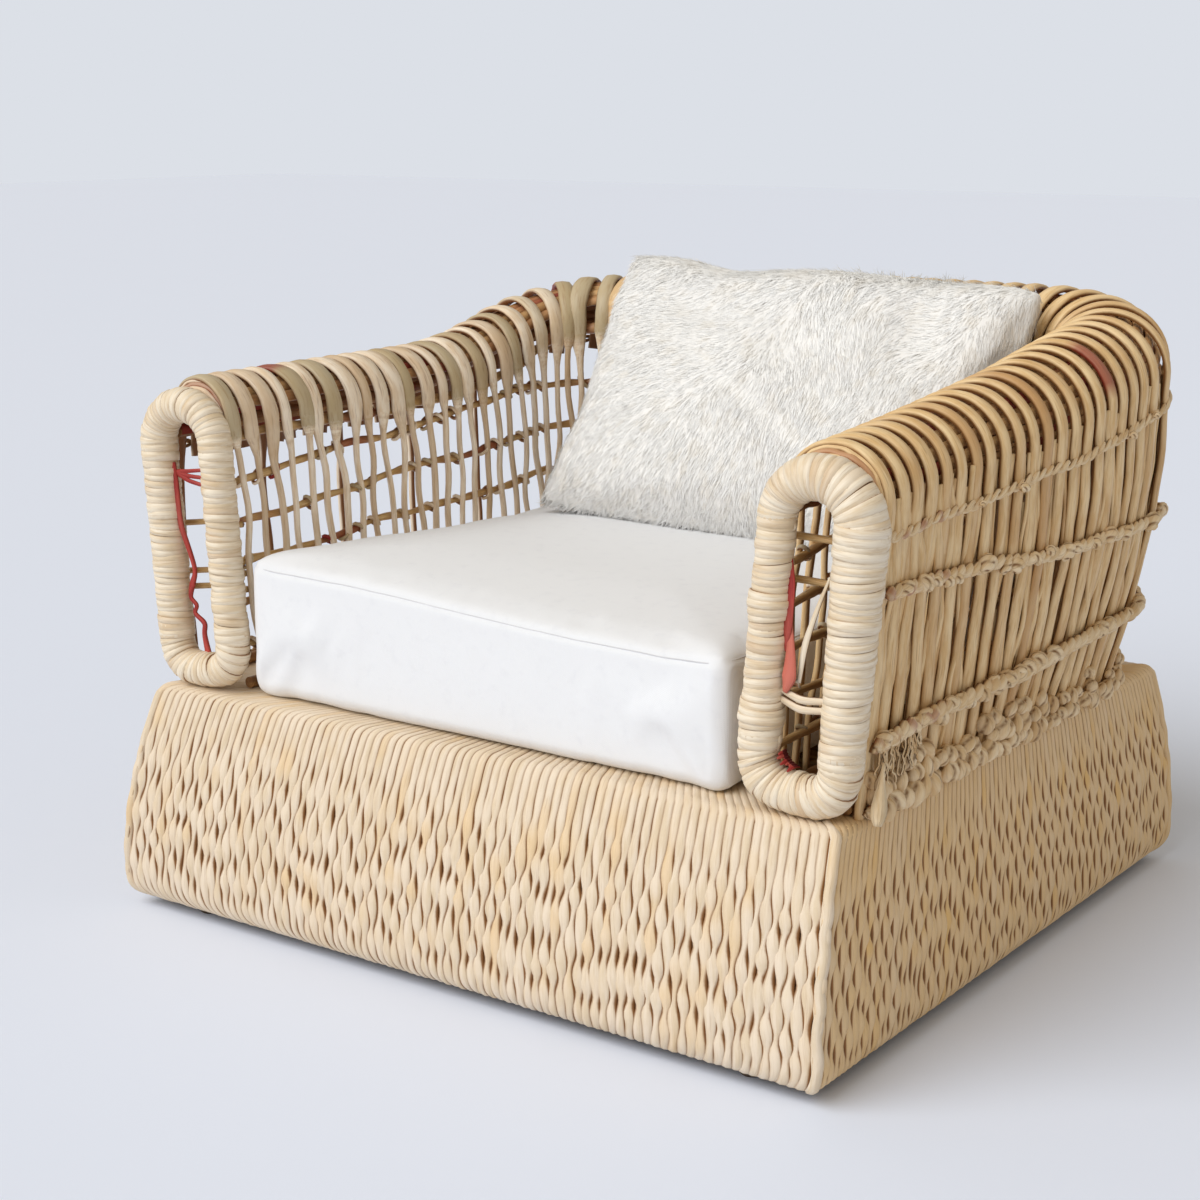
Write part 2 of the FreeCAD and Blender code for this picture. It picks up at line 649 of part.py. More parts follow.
def cushion_outline(inset, height):
    """Plan outline of the seat cushion, its sides drawn in between the corners."""
    x = CUSHION_HALF_WIDTH - inset
    front, rear = CUSHION_FRONT + inset, CUSHION_REAR - inset
    small, large = CUSHION_FRONT_CORNER, CUSHION_REAR_CORNER
    shorten = 1 - math.cos(math.pi / 4)
    sag = CUSHION_SIDE_SAG

    def at(px, py):
        return Vector(px, py, height)

    def corner(sx, y_edge, sy, radius, first_on_side):
        side = at(sx * x, y_edge - sy * radius)
        end = at(sx * (x - radius), y_edge)
        middle = at(sx * (x - radius * shorten), y_edge - sy * radius * shorten)
        ends = (side, end) if first_on_side else (end, side)
        return Part.Arc(ends[0], middle, ends[1]).toShape()

    edges = [
        Part.Arc(at(-x + small, front), at(0, front + sag), at(x - small, front)).toShape(),
        corner(1, front, -1, small, False),
        Part.Arc(at(x, front + small), at(x - sag, (front + rear) / 2), at(x, rear - large)).toShape(),
        corner(1, rear, 1, large, True),
        Part.Arc(at(x - large, rear), at(0, rear - sag), at(-x + large, rear)).toShape(),
        corner(-1, rear, 1, large, False),
        Part.Arc(at(-x, rear - large), at(-x + sag, (front + rear) / 2), at(-x, front + small)).toShape(),
        corner(-1, front, -1, small, True),
    ]
    return Part.Wire(edges)


def cushion_form(skin):
    """Crowned box cushion, or its core when a skin thickness is taken off."""
    shrink = 1 - 2 * skin / CUSHION_LEVELS[-1][0]
    foot = BASE_HEIGHT + CUSHION_REST_GAP + skin
    outlines = [cushion_outline(inset + skin, foot + height * shrink) for height, inset in CUSHION_LEVELS]
    box = Part.makeLoft(outlines[:CUSHION_SEAM_LEVEL + 1], True, False)
    crown = Part.makeLoft(outlines[CUSHION_SEAM_LEVEL:], True, False)
    return box.fuse(crown).Solids[0]


def seat_cushion():
    """Cover, foam and zip of the seat cushion."""
    outer = cushion_form(0)
    foam = cushion_form(CUSHION_SKIN)
    zip_z = BASE_HEIGHT + CUSHION_REST_GAP + CUSHION_LEVELS[-1][0] / 2
    tape_front = CUSHION_REAR - CUSHION_SIDE_SAG - CUSHION_SKIN
    tape = Part.makeBox(2 * ZIP_HALF_WIDTH, ZIP_DEPTH, ZIP_HEIGHT,
                        Vector(-ZIP_HALF_WIDTH, tape_front, zip_z - ZIP_HEIGHT / 2))
    zip_tape = tape.cut(outer)
    return {
        "seat_cushion_cover": outer.cut(foam).Solids[0],
        "seat_cushion_foam": foam,
        "seat_cushion_zip": zip_tape.Solids[0],
    }


def pillow_form(skin):
    """Soft-edged pillow that swells in its middle, or its filling when a skin thickness is taken off."""
    centre = Vector(*PILLOW_CENTRE)
    rise = Vector(0, math.sin(PILLOW_LEAN), math.cos(PILLOW_LEAN))
    face = Vector(0, -math.cos(PILLOW_LEAN), math.sin(PILLOW_LEAN))
    mirrored = [(-across, height, swell) for across, height, swell in PILLOW_HALF_STATIONS[:0:-1]]
    sections = []
    for across, height_share, swell in mirrored + list(PILLOW_HALF_STATIONS):
        middle = centre + Vector(across * (PILLOW_WIDTH / 2 - skin), 0, 0)
        half_height = PILLOW_HEIGHT * height_share / 2 - skin
        half_swell = PILLOW_THICKNESS * swell / 2 - skin
        hem = min(PILLOW_HEM, half_swell / 2)
        top, bottom = middle + rise * (half_height - hem), middle - rise * (half_height - hem)
        sections.append(Part.Wire([
            Part.Arc(bottom + face * hem, middle + face * half_swell, top + face * hem).toShape(),
            Part.Arc(top + face * hem, top + rise * hem, top - face * hem).toShape(),
            Part.Arc(top - face * hem, middle - face * half_swell, bottom - face * hem).toShape(),
            Part.Arc(bottom - face * hem, bottom - rise * hem, bottom + face * hem).toShape(),
        ]))
    return Part.makeLoft(sections, True, False)


def back_pillow():
    outer = pillow_form(0)
    filling = pillow_form(PILLOW_SKIN)
    return {"pillow_cover": outer.cut(filling).Solids[0], "pillow_filling": filling}


def build():
    """All nodes of the chair by name."""
    nodes = base_skirts()
    frame = base_frame()
    nodes.update(seat_deck(frame))
    nodes.update(frame)
    nodes.update(tub_wall())
    nodes.update(tub_rails())
    for side, sign in SIDES.items():
        nodes.update(arm_loop(side, sign))
    nodes.update(seat_cushion())
    nodes.update(back_pillow())
    return nodes


os.makedirs("parts", exist_ok=True)
for node_name, node_shape in build().items():
    node_shape.exportStep(f"parts/{node_name}.step")
    print(f"{node_name}: {len(node_shape.Solids)} solids, valid {node_shape.isValid()}, "
          f"{node_shape.Volume / 1000:.1f} cm3")
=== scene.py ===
"""Looks of a rattan lounge chair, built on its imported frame.

The base is covered with rush strands, the tub is bent cane with twined rows and lashings, the arm fronts are
loops bound with pale cane, and the seat cushion and the fur pillow lie loose. All lengths are metres.
"""
import logging
import math
from contextlib import contextmanager
from dataclasses import dataclass
from enum import Enum
from functools import cache
from typing import Callable, ClassVar, Iterator, Optional, Sequence, Union

import bpy
import numpy as np
from mathutils import Matrix, Vector, kdtree, noise


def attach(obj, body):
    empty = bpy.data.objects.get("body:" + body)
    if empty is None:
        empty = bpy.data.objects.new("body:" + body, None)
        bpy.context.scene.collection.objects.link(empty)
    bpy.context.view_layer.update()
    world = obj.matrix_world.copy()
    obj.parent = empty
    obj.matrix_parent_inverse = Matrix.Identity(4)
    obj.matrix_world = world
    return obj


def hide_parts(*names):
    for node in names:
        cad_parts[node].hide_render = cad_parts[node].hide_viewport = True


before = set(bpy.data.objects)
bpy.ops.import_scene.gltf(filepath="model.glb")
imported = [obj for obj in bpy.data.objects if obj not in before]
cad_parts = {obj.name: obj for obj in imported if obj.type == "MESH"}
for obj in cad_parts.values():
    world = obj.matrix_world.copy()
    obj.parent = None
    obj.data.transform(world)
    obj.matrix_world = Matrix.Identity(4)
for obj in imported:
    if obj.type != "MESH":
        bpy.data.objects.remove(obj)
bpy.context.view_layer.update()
log = logging.getLogger("lounge_chair")

Array = np.ndarray
Draws = np.random.Generator
Piece = bpy.types.Object
Material = bpy.types.Material
Pair = tuple[float, float]
Triple = tuple[float, float, float]
Colour = tuple[float, float, float, float]
Level = Union["Tone", float]
Number = Union[float, Array]
UP = np.array([0.0, 0.0, 1.0])


class Body(Enum):
    """The moving bodies that pieces ride on."""

    FRAME = "frame"
    SEAT = "seat_cushion"
    PILLOW = "back_pillow"


class Side(Enum):
    """The two arms."""

    LEFT = "left"
    RIGHT = "right"

    @property
    def sign(self) -> float:
        """Direction of the arm along X."""
        return 1.0 if self is Side.RIGHT else -1.0


class Face(Enum):
    """The four sides of the base, with the quarter turns that bring each there from the front."""

    FRONT = 0
    RIGHT = 1
    REAR = 2
    LEFT = 3

    @property
    def label(self) -> str:
        """Name of the side in the node names."""
        return self.name.lower()


class Seed(Enum):
    """Starts of the random draws, one for each kind of work."""

    RUSH = 11
    RIBS = 21
    STRIPS = 31
    LATTICE = 41
    ROLL = 51
    RAIL = 61
    KNOTS = 71
    TUFTS = 77
    ROWS = 81
    RIGHT_LOOP = 91
    LEFT_LOOP = 92
    FUR = 101

    def draws(self) -> Draws:
        """A fresh source of random draws."""
        return np.random.default_rng(self.value)


def srgb(red: int, green: int, blue: int) -> Colour:
    """Scene-linear colour of a screen colour whose shares go from 0 to 255."""
    shares = [value / 255 for value in (red, green, blue)]
    return *(s / 12.92 if s <= 0.04045 else ((s + 0.055) / 1.055) ** 2.4 for s in shares), 1.0


def smoothstep(low: float, high: float, value: Number) -> Number:
    """Smooth change from 0 to 1 as the values go from low to high."""
    share = np.clip((value - low) / (high - low), 0.0, 1.0)
    return share * share * (3 - 2 * share)


def wander(rng: Draws, length: Array, wave: float) -> Array:
    """Slow random wandering along a length.

    Args:
        rng: Source of the random phases.
        length: Distances along the length.
        wave: Length of the slowest wave.

    Returns:
        Values between about -1 and 1.
    """
    total = np.zeros_like(length, dtype=float)
    for step in (1.0, 1.9, 3.1):
        total += np.sin(2 * math.pi * length * step / wave + rng.uniform(0, 2 * math.pi)) / step
    return total / 1.5


def unit(vectors: Array) -> Array:
    """Vectors at a length of 1."""
    return vectors / np.maximum(np.linalg.norm(vectors, axis=-1, keepdims=True), 1e-9)


def travel(line: Array) -> Array:
    """Distance of each point of a line from its start."""
    return np.concatenate([[0], np.cumsum(np.linalg.norm(np.diff(line, axis=0), axis=1))])


def look_up(wanted: Number, stops: Array, places: Array) -> Array:
    """Places along a line whose points lie at these stops."""
    return np.stack([np.interp(wanted, stops, column) for column in places.T], -1)


def read(items: bpy.types.bpy_prop_collection, name: str, width: int = 1, kind: type = float) -> Array:
    """Values of one property of the points, corners or faces of a mesh.

    Args:
        items: The points, corners or faces.
        name: The property.
        width: Numbers in one value.
        kind: Type of the numbers.

    Returns:
        One value or one row of values for each item.
    """
    values = np.empty(len(items) * width, kind)
    items.foreach_get(name, values)
    return values.reshape(-1, width) if width > 1 else values


def move_points(mesh: bpy.types.Mesh, points: Array) -> None:
    """Sets the places of all points of a mesh."""
    mesh.vertices.foreach_set("co", points.astype(np.float32).ravel())


def new_mesh(name: str, points: Array, corners: Array, starts: Array, marks: Array) -> bpy.types.Mesh:
    """Makes a smooth-shaded mesh whose points carry their strand's marks.

    Args:
        name: Name of the mesh.
        points: Its points.
        corners: Point at each face corner.
        starts: First corner of each face.
        marks: Tint, hue, accent and a fourth mark of each point: painted shade on canes, height along the
            hair on fur.

    Returns:
        The mesh.
    """
    mesh = bpy.data.meshes.new(name)
    mesh.vertices.add(len(points))
    move_points(mesh, points)
    mesh.loops.add(len(corners))
    mesh.loops.foreach_set("vertex_index", corners)
    mesh.polygons.add(len(starts))
    mesh.polygons.foreach_set("loop_start", starts)
    mesh.polygons.foreach_set("use_smooth", np.ones(len(starts), bool))
    strand = mesh.attributes.new("strand", "FLOAT_COLOR", "POINT")
    strand.data.foreach_set("color", marks.astype(np.float32).ravel())
    mesh.update(calc_edges=True)
    return mesh


class Tone:
    """A shader output that takes part in Python expressions."""

    def __init__(self, shader: "Shader", socket: bpy.types.NodeSocket) -> None:
        """Keeps the output and its shader."""
        self.shader = shader
        self.socket = socket

    def _math(self, operation: str, first: Level, second: Level = 0.0) -> "Tone":
        """Result of one Math node."""
        return self.shader.node("ShaderNodeMath", {"operation": operation}, {0: first, 1: second})

    def __add__(self, other: Level) -> "Tone":
        """Sum."""
        return self._math("ADD", self, other)

    __radd__ = __add__

    def __sub__(self, other: Level) -> "Tone":
        """Difference."""
        return self._math("SUBTRACT", self, other)

    def __rsub__(self, other: Level) -> "Tone":
        """Difference from a number."""
        return self._math("SUBTRACT", other, self)

    def __mul__(self, other: Level) -> "Tone":
        """Product."""
        return self._math("MULTIPLY", self, other)

    __rmul__ = __mul__

    def smooth(self, low: float, high: float) -> "Tone":
        """Smooth change from 0 to 1 between two values of this one."""
        return self.shader.node("ShaderNodeMapRange", {"interpolation_type": "SMOOTHSTEP"},
                                {"Value": self, "From Min": low, "From Max": high})


class Shader:
    """One material or world that is put together node by node."""

    def __init__(self, owner: Union[str, bpy.types.World]) -> None:
        """Empties a world's nodes or starts a new material.

        Args:
            owner: The world, or the material's name.
        """
        self.owner = bpy.data.materials.new(owner) if isinstance(owner, str) else owner
        self.owner.use_nodes = True
        self.tree = self.owner.node_tree
        self.tree.nodes.clear()

    @staticmethod
    def _find(sockets: bpy.types.bpy_prop_collection, key: Union[int, str]) -> bpy.types.NodeSocket:
        """A socket by its place, identifier or name."""
        named = [s for s in sockets if key in (s.identifier, s.name)]
        return sockets[key] if isinstance(key, int) else named[0]

    def node(self, kind: str, settings: Optional[dict] = None, inputs: Optional[dict] = None,
             out: Union[int, str, tuple] = 0) -> Union[Tone, tuple]:
        """Adds any node.

        Args:
            kind: The node's type.
            settings: Its own settings, set first.
            inputs: Values or links of its sockets.
            out: The output wanted, or several of them.

        Returns:
            The output, or a tuple of outputs.
        """
        made = self.tree.nodes.new(kind)
        for key, value in (settings or {}).items():
            setattr(made, key, value)
        for key, value in (inputs or {}).items():
            socket = self._find(made.inputs, key)
            if isinstance(value, Tone):
                self.tree.links.new(value.socket, socket)
            else:
                socket.default_value = value
        if isinstance(out, tuple):
            return tuple(Tone(self, self._find(made.outputs, key)) for key in out)
        return Tone(self, self._find(made.outputs, out)) if len(made.outputs) else None

    def mix(self, share: Level, first: Union[Tone, Colour], second: Union[Tone, Colour]) -> Tone:
        """Blends two colours by the share of the second."""
        return self.node("ShaderNodeMix", {"data_type": "RGBA"},
                         {"Factor_Float": share, "A_Color": first, "B_Color": second}, "Result_Color")

    def noise(self, place: Tone, scale: float, detail: float = 2.0, rough: float = 0.5) -> Tone:
        """Noise around 0.5 at a place, with its features per unit, octaves and their strength."""
        return self.node("ShaderNodeTexNoise", None,
                         {"Vector": place, "Scale": scale, "Detail": detail, "Roughness": rough})

    def point(self, x: Level, y: Level, z: Level) -> Tone:
        """Coordinates from three values."""
        return self.node("ShaderNodeCombineXYZ", None, {0: x, 1: y, 2: z})

    def object_place(self, scale: Triple = (1.0, 1.0, 1.0)) -> Tone:
        """Object coordinates, with the features per metre along each axis."""
        place = self.node("ShaderNodeTexCoord", None, None, "Object")
        return self.node("ShaderNodeMapping", None, {"Vector": place, "Scale": scale})

    def surface(self, colour: Union[Tone, Colour], roughness: Level, height: Optional[Tone] = None,
                depth: float = 0.0005, fixed: Optional[dict] = None) -> Material:
        """Ends the material in one principled surface.

        Args:
            colour: Base colour.
            roughness: Roughness.
            height: Height of the relief from 0 to 1.
            depth: Depth of the relief.
            fixed: Constant values of other sockets.

        Returns:
            The finished material.
        """
        inputs = {"Base Color": colour, "Roughness": roughness, **(fixed or {})}
        if height is not None:
            inputs["Normal"] = self.node("ShaderNodeBump", None, {"Height": height, "Distance": depth})
        body = self.node("ShaderNodeBsdfPrincipled", None, inputs)
        self.node("ShaderNodeOutputMaterial", None, {"Surface": body})
        return self.owner


@dataclass(frozen=True)
class CaneFinish:
    """Cane, rush or rattan: streaks along each strand, its own tint, and painted shade between the strands.
    """

    name: str
    pale: Colour
    middle: Colour
    deep: Colour
    toast: Colour
    # Shade mark values over which the painted shade between the strands sets in.
    crevice_shade: Pair = (0.3, 0.62)
    streak: float = 0.5
    roughness: float = 0.55
    coat: float = 0.0
    relief: float = 0.0005
    odd: Colour = srgb(160, 142, 100)
    odd_share: float = 0.0
    accent: ClassVar[Colour] = srgb(165, 42, 38)

    def material(self) -> Material:
        """Builds the material.

        Returns:
            The finished material.
        """
        shader = Shader(self.name)
        around, along, _ = shader.node("ShaderNodeSeparateXYZ", None,
                                       {0: shader.node("ShaderNodeUVMap", {"uv_map": "UVMap"})}, (0, 1, 2))
        # The attribute's alpha is each point's painted shade mark.
        marks, depth = shader.node("ShaderNodeAttribute", {"attribute_name": "strand"}, None,
                                   ("Color", "Alpha"))
        tint, hue, accent = shader.node("ShaderNodeSeparateColor", None, {0: marks}, (0, 1, 2))
        offset = tint * 37 + hue * 11
        broad = shader.noise(shader.point(around * 5, along * 22, offset), 1.0, 3.0, 0.6)
        fine = shader.noise(shader.point(around * 26, along * 30, offset + 5), 1.0, 2.0, 0.6)
        patch = shader.noise(shader.point(offset, along * 9, 3.0), 1.0, 2.0, 0.5)
        colour = shader.mix(broad.smooth(0.35, 0.7), self.pale, self.middle)
        colour = shader.mix(patch.smooth(0.5, 0.75) * 0.5 + tint.smooth(0.55, 1.0) * 0.7, colour, self.toast)
        if self.odd_share:
            colour = shader.mix(hue.smooth(0.5, 0.85) * self.odd_share, colour, self.odd)
        colour = shader.mix(fine.smooth(0.5, 0.8) * self.streak, colour, self.deep)
        # Painted shade: each point's shade mark darkens the flanks between the strands towards the deep
        # colour.
        colour = shader.mix(depth.smooth(*self.crevice_shade), colour, self.deep)
        red = shader.mix(fine, self.accent, srgb(120, 34, 30))
        colour = shader.mix(accent, colour, red)
        relief = fine * 0.6 + broad * 0.4
        return shader.surface(colour, self.roughness + 0.2 * (fine - 0.5), relief, self.relief,
                              {"Coat Weight": self.coat, "Coat Roughness": 0.3, "Specular IOR Level": 0.35})


@dataclass(frozen=True)
class PoleFinish:
    """Peeled rattan pole or sawn wood, with its grain along one axis of the object."""

    name: str
    pale: Colour
    deep: Colour
    stretch: Triple
    roughness: float = 0.5

    def material(self) -> Material:
        """Builds the material.

        Returns:
            The finished material.
        """
        shader = Shader(self.name)
        grain = shader.noise(shader.object_place(self.stretch), 1.0, 4.0, 0.62)
        mottle = shader.noise(shader.object_place((14.0, 14.0, 14.0)), 1.0, 2.0)
        colour = shader.mix(grain.smooth(0.36, 0.68), self.pale, self.deep)
        colour = shader.mix(mottle.smooth(0.55, 0.8) * 0.35, colour, self.deep)
        return shader.surface(colour, self.roughness + 0.25 * (grain - 0.5), grain, 0.0004)


@dataclass(frozen=True)
class PlainFinish:
    """Moulded plastic or plated metal with fine mottling."""

    name: str
    colour: Colour
    shade: Colour
    roughness: float
    metallic: float = 0.0

    def material(self) -> Material:
        """Builds the material.

        Returns:
            The finished material.
        """
        shader = Shader(self.name)
        grain = shader.noise(shader.object_place(), 900.0, 2.0)
        colour = shader.mix(grain.smooth(0.4, 0.7), self.colour, self.shade)
        return shader.surface(colour, self.roughness + 0.15 * (grain - 0.5), grain, 0.0001,
                              {"Metallic": self.metallic})


@dataclass(frozen=True)
class ClothFinish:
    """Plain-woven cloth: fine crossing threads and a faint unevenness."""

    name: str
    colour: Colour
    shade: Colour
    thread: float = 0.0011

    def material(self) -> Material:
        """Builds the material.

        Returns:
            The finished material.
        """
        shader = Shader(self.name)
        place = shader.object_place()
        size = 2 * math.pi / self.thread / 20
        threads = {"Vector": place, "Scale": size, "Distortion": 0.6, "Detail": 1.0}
        warp = shader.node("ShaderNodeTexWave", {"bands_direction": "X"}, threads, "Fac")
        weft = shader.node("ShaderNodeTexWave", {"bands_direction": "DIAGONAL"}, threads, "Fac")
        slub = shader.noise(place, 60.0, 3.0, 0.6)
        weave = warp * weft
        colour = shader.mix(weave * 0.4 + slub.smooth(0.5, 0.8) * 0.4, self.colour, self.shade)
        return shader.surface(colour, 0.85 + 0.1 * (slub - 0.5), weave * 0.5 + slub * 0.5, 0.00035,
                              {"Sheen Weight": 0.15, "Sheen Roughness": 0.5, "Specular IOR Level": 0.25})


@dataclass(frozen=True)
class FurFinish:
    """Long pile: pale tips, warmer roots and a different tone for each lock."""

    name: str
    tip: Colour
    root: Colour
    warm: Colour

    def material(self) -> Material:
        """Builds the material.

        Returns:
            The finished material.
        """
        shader = Shader(self.name)
        marks, height = shader.node("ShaderNodeAttribute", {"attribute_name": "strand"}, None,
                                    ("Color", "Alpha"))
        tint, lock, _ = shader.node("ShaderNodeSeparateColor", None, {0: marks}, (0, 1, 2))
        colour = shader.mix(height.smooth(0.0, 0.75), self.root, self.tip)
        colour = shader.mix(lock.smooth(0.62, 1.0) * 0.55 + tint.smooth(0.8, 1.0) * 0.25, colour, self.warm)
        return shader.surface(colour, 0.62 + 0.2 * (tint - 0.5), None, 0.0,
                              {"Sheen Weight": 0.35, "Sheen Roughness": 0.45, "Specular IOR Level": 0.2})


# In each cane finish, the pair after the four colours sets where the painted shade between the strands begins
# and where it is full.
RUSH = CaneFinish("rush_weave", srgb(233, 216, 193), srgb(222, 202, 172), srgb(146, 102, 60),
                  srgb(230, 190, 126), (0.085, 0.20), 0.22, 0.62, 0.0, 0.0005)
# Dark brown sheet under the rush strands: painted shade in the gaps between them.
RUSH_SHADE_SHEET = PoleFinish("rush_backing", srgb(158, 114, 70), srgb(112, 76, 44), (60.0, 60.0, 12.0), 0.8)
BINDING = CaneFinish("pale_cane_binding", srgb(242, 229, 207), srgb(226, 204, 170), srgb(148, 104, 66),
                     srgb(200, 164, 120), (0.20, 0.46), 0.35, 0.45, 0.1, 0.0003)
BENT_CANE = CaneFinish("bent_cane", srgb(239, 210, 162), srgb(220, 182, 126), srgb(140, 98, 56),
                       srgb(198, 154, 102), (0.32, 0.66), 0.45, 0.48, 0.06, 0.0004)
STRAP_CANE = CaneFinish("strap_cane", srgb(249, 235, 214), srgb(231, 206, 173), srgb(146, 102, 68),
                        srgb(204, 174, 136), (0.34, 0.68), 0.5, 0.48, 0.06, 0.0004, srgb(172, 154, 114), 0.75)
BROWN_RATTAN = CaneFinish("brown_rattan", srgb(226, 192, 136), srgb(202, 160, 102), srgb(136, 92, 56),
                          srgb(176, 116, 76), (0.5, 0.9), 0.5, 0.45, 0.08, 0.0004)
LINER_CANE = CaneFinish("liner_cane", srgb(216, 174, 118), srgb(190, 144, 92), srgb(134, 90, 54),
                        srgb(168, 100, 72), (0.45, 0.8), 0.5, 0.6, 0.0, 0.0004)
TWINE = CaneFinish("rush_twine", srgb(240, 218, 182), srgb(222, 190, 142), srgb(130, 90, 50),
                   srgb(206, 166, 112), (0.32, 0.66), 0.4, 0.6, 0.0, 0.0006)
DYED = CaneFinish("dyed_ribbon", srgb(188, 74, 64), srgb(152, 42, 42), srgb(92, 22, 26), srgb(218, 130, 110),
                  (0.5, 0.9), 0.5, 0.6, 0.0, 0.0004)
SEAM = CaneFinish("seam_thread", srgb(226, 226, 228), srgb(212, 212, 215), srgb(190, 190, 194),
                  srgb(218, 218, 220), (0.5, 0.9), 0.3, 0.8)
POLE = PoleFinish("rattan_pole", srgb(196, 158, 104), srgb(140, 98, 54), (9.0, 90.0, 90.0), 0.45)
RAIL = PoleFinish("brown_rail", srgb(180, 134, 82), srgb(126, 84, 48), (60.0, 14.0, 60.0), 0.45)
DECK_WOOD = PoleFinish("deck_wood", srgb(214, 184, 138), srgb(164, 124, 78), (5.0, 80.0, 80.0), 0.6)
GLIDE = PlainFinish("glide_plastic", srgb(82, 62, 44), srgb(60, 44, 30), 0.6)
ZINC = PlainFinish("zinc_screw", srgb(196, 196, 192), srgb(150, 150, 148), 0.35, 1.0)
COTTON = ClothFinish("white_cotton", srgb(240, 241, 243), srgb(228, 229, 233))
ZIP_TAPE = ClothFinish("white_zip", srgb(232, 232, 232), srgb(206, 206, 208), 0.0016)
FUR = FurFinish("ivory_fur", srgb(247, 247, 246), srgb(242, 240, 236), srgb(243, 238, 229))
Finish = Union[CaneFinish, PoleFinish, PlainFinish, ClothFinish, FurFinish]


@cache
def material_of(finish: Finish) -> Material:
    """The material of a finish, built once."""
    return finish.material()


def clear_selection() -> None:
    """Leaves object mode's selection empty, so that an operator acts on new work only."""
    if bpy.context.object is not None and bpy.context.object.mode != "OBJECT":
        bpy.ops.object.mode_set(mode="OBJECT")
    bpy.ops.object.select_all(action="DESELECT")


def activate(piece: Piece) -> None:
    """Leaves one piece selected and active.

    Args:
        piece: The piece that the next operator acts on.
    """
    clear_selection()
    piece.select_set(True)
    bpy.context.view_layer.objects.active = piece


@contextmanager
def editing() -> Iterator[None]:
    """Edit mode on the active piece, all of it selected, and object mode again afterwards.

    Returns:
        A context for the edits.
    """
    bpy.ops.object.mode_set(mode="EDIT")
    bpy.ops.mesh.select_all(action="SELECT")
    yield
    bpy.ops.object.mode_set(mode="OBJECT")


def face_outwards() -> None:
    """Turns all faces of the piece in edit mode outwards."""
    bpy.ops.mesh.select_all(action="SELECT")
    bpy.ops.mesh.normals_make_consistent(inside=False)


def settle(piece: Piece, body: Body, replaced: Sequence[str] = ()) -> None:
    """Hands a finished piece to the body it rides on.

    Args:
        piece: The finished object.
        body: The body it rides on.
        replaced: Nodes that it stands for.
    """
    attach(piece, body.value)
    if replaced:
        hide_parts(*replaced)
    log.info("%s: %d faces on %s", piece.name, len(piece.data.polygons), body.value)


@dataclass
class Blank:
    """A shape that is modelled once and copied: its points, face corners and wrapping."""

    points: Array
    corners: Array
    starts: Array
    wrap: Array

    @classmethod
    def take(cls, piece: Piece) -> "Blank":
        """Reads a modelled object and removes it.

        Args:
            piece: The modelled object, round about its Z axis.

        Returns:
            The blank, with its wrapping from 0 to 1 around Z and its height along Z.
        """
        mesh = piece.data
        points = read(mesh.vertices, "co", 3)
        corners = read(mesh.loops, "vertex_index", kind=np.int32)
        starts = read(mesh.polygons, "loop_start", kind=np.int32)
        share = ((np.arctan2(points[:, 1], points[:, 0]) + math.pi / 2) / (2 * math.pi)) % 1.0
        around = share[corners]
        ends = np.append(starts[1:], len(corners))
        for first, last in zip(starts, ends):
            face = around[first:last]
            if face.max() - face.min() > 0.5:
                around[first:last] = np.where(face < 0.5, face + 1, face)
        bpy.data.objects.remove(piece)
        bpy.data.meshes.remove(mesh)
        return cls(points, corners, starts, np.stack([around, points[corners, 2]], 1))

    @classmethod
    @cache
    def cane(cls, sides: int, rings: int) -> "Blank":
        """A straight cane of unit radius: one ring repeated along its length and closed at both ends.

        Args:
            sides: Faces around.
            rings: Rings along, a unit apart.

        Returns:
            The blank.
        """
        clear_selection()
        bpy.ops.mesh.primitive_cylinder_add(vertices=sides, radius=1.0, depth=1.0, end_fill_type="NOTHING",
                                            location=(0.0, 0.0, 0.5))
        bpy.ops.object.transform_apply(location=True, rotation=False, scale=False)
        row = bpy.context.object.modifiers.new("row", "ARRAY")
        row.count = rings - 1
        row.use_relative_offset = False
        row.use_constant_offset = True
        row.constant_offset_displace = (0.0, 0.0, 1.0)
        row.use_merge_vertices = True
        bpy.ops.object.modifier_apply(modifier="row")
        with editing():
            bpy.ops.mesh.fill_holes(sides=0)
            face_outwards()
        return cls.take(bpy.context.object)

    @classmethod
    @cache
    def knot(cls, lobes: int, twist: float, groove: float) -> "Blank":
        """A tight knot of unit radius: a ball whose turns show as twisted lobes.

        Args:
            lobes: Turns that show around.
            twist: Turn of the lobes from pole to pole, in radians.
            groove: Depth of the grooves between them.

        Returns:
            The blank.
        """
        clear_selection()
        bpy.ops.mesh.primitive_uv_sphere_add(segments=lobes * 5, ring_count=9, radius=1.0)
        ball = bpy.context.object
        with editing():
            bpy.ops.transform.resize(value=(1.0, 1.0, 0.92))
            bpy.ops.mesh.vertices_smooth(factor=0.3, repeat=1)
        for vertex in ball.data.vertices:
            angle = math.atan2(vertex.co.y, vertex.co.x) + twist * vertex.co.z
            flat = math.hypot(vertex.co.x, vertex.co.y)
            swell = 1 - groove * min(1.0, 1.6 * flat) * (1 - abs(math.cos(lobes * angle / 2)))
            vertex.co = vertex.co * swell
        return cls.take(ball)

    @classmethod
    @cache
    def ring(cls, thickness: float) -> "Blank":
        """One turn of a lashing: a unit ring that is drawn a little square.

        Args:
            thickness: Radius of the strand.

        Returns:
            The blank.
        """
        clear_selection()
        bpy.ops.mesh.primitive_torus_add(major_segments=12, minor_segments=5, major_radius=1.0,
                                         minor_radius=thickness)
        with editing():
            bpy.ops.transform.resize(value=(1.0, 1.0, 1.5))
        return cls.take(bpy.context.object)


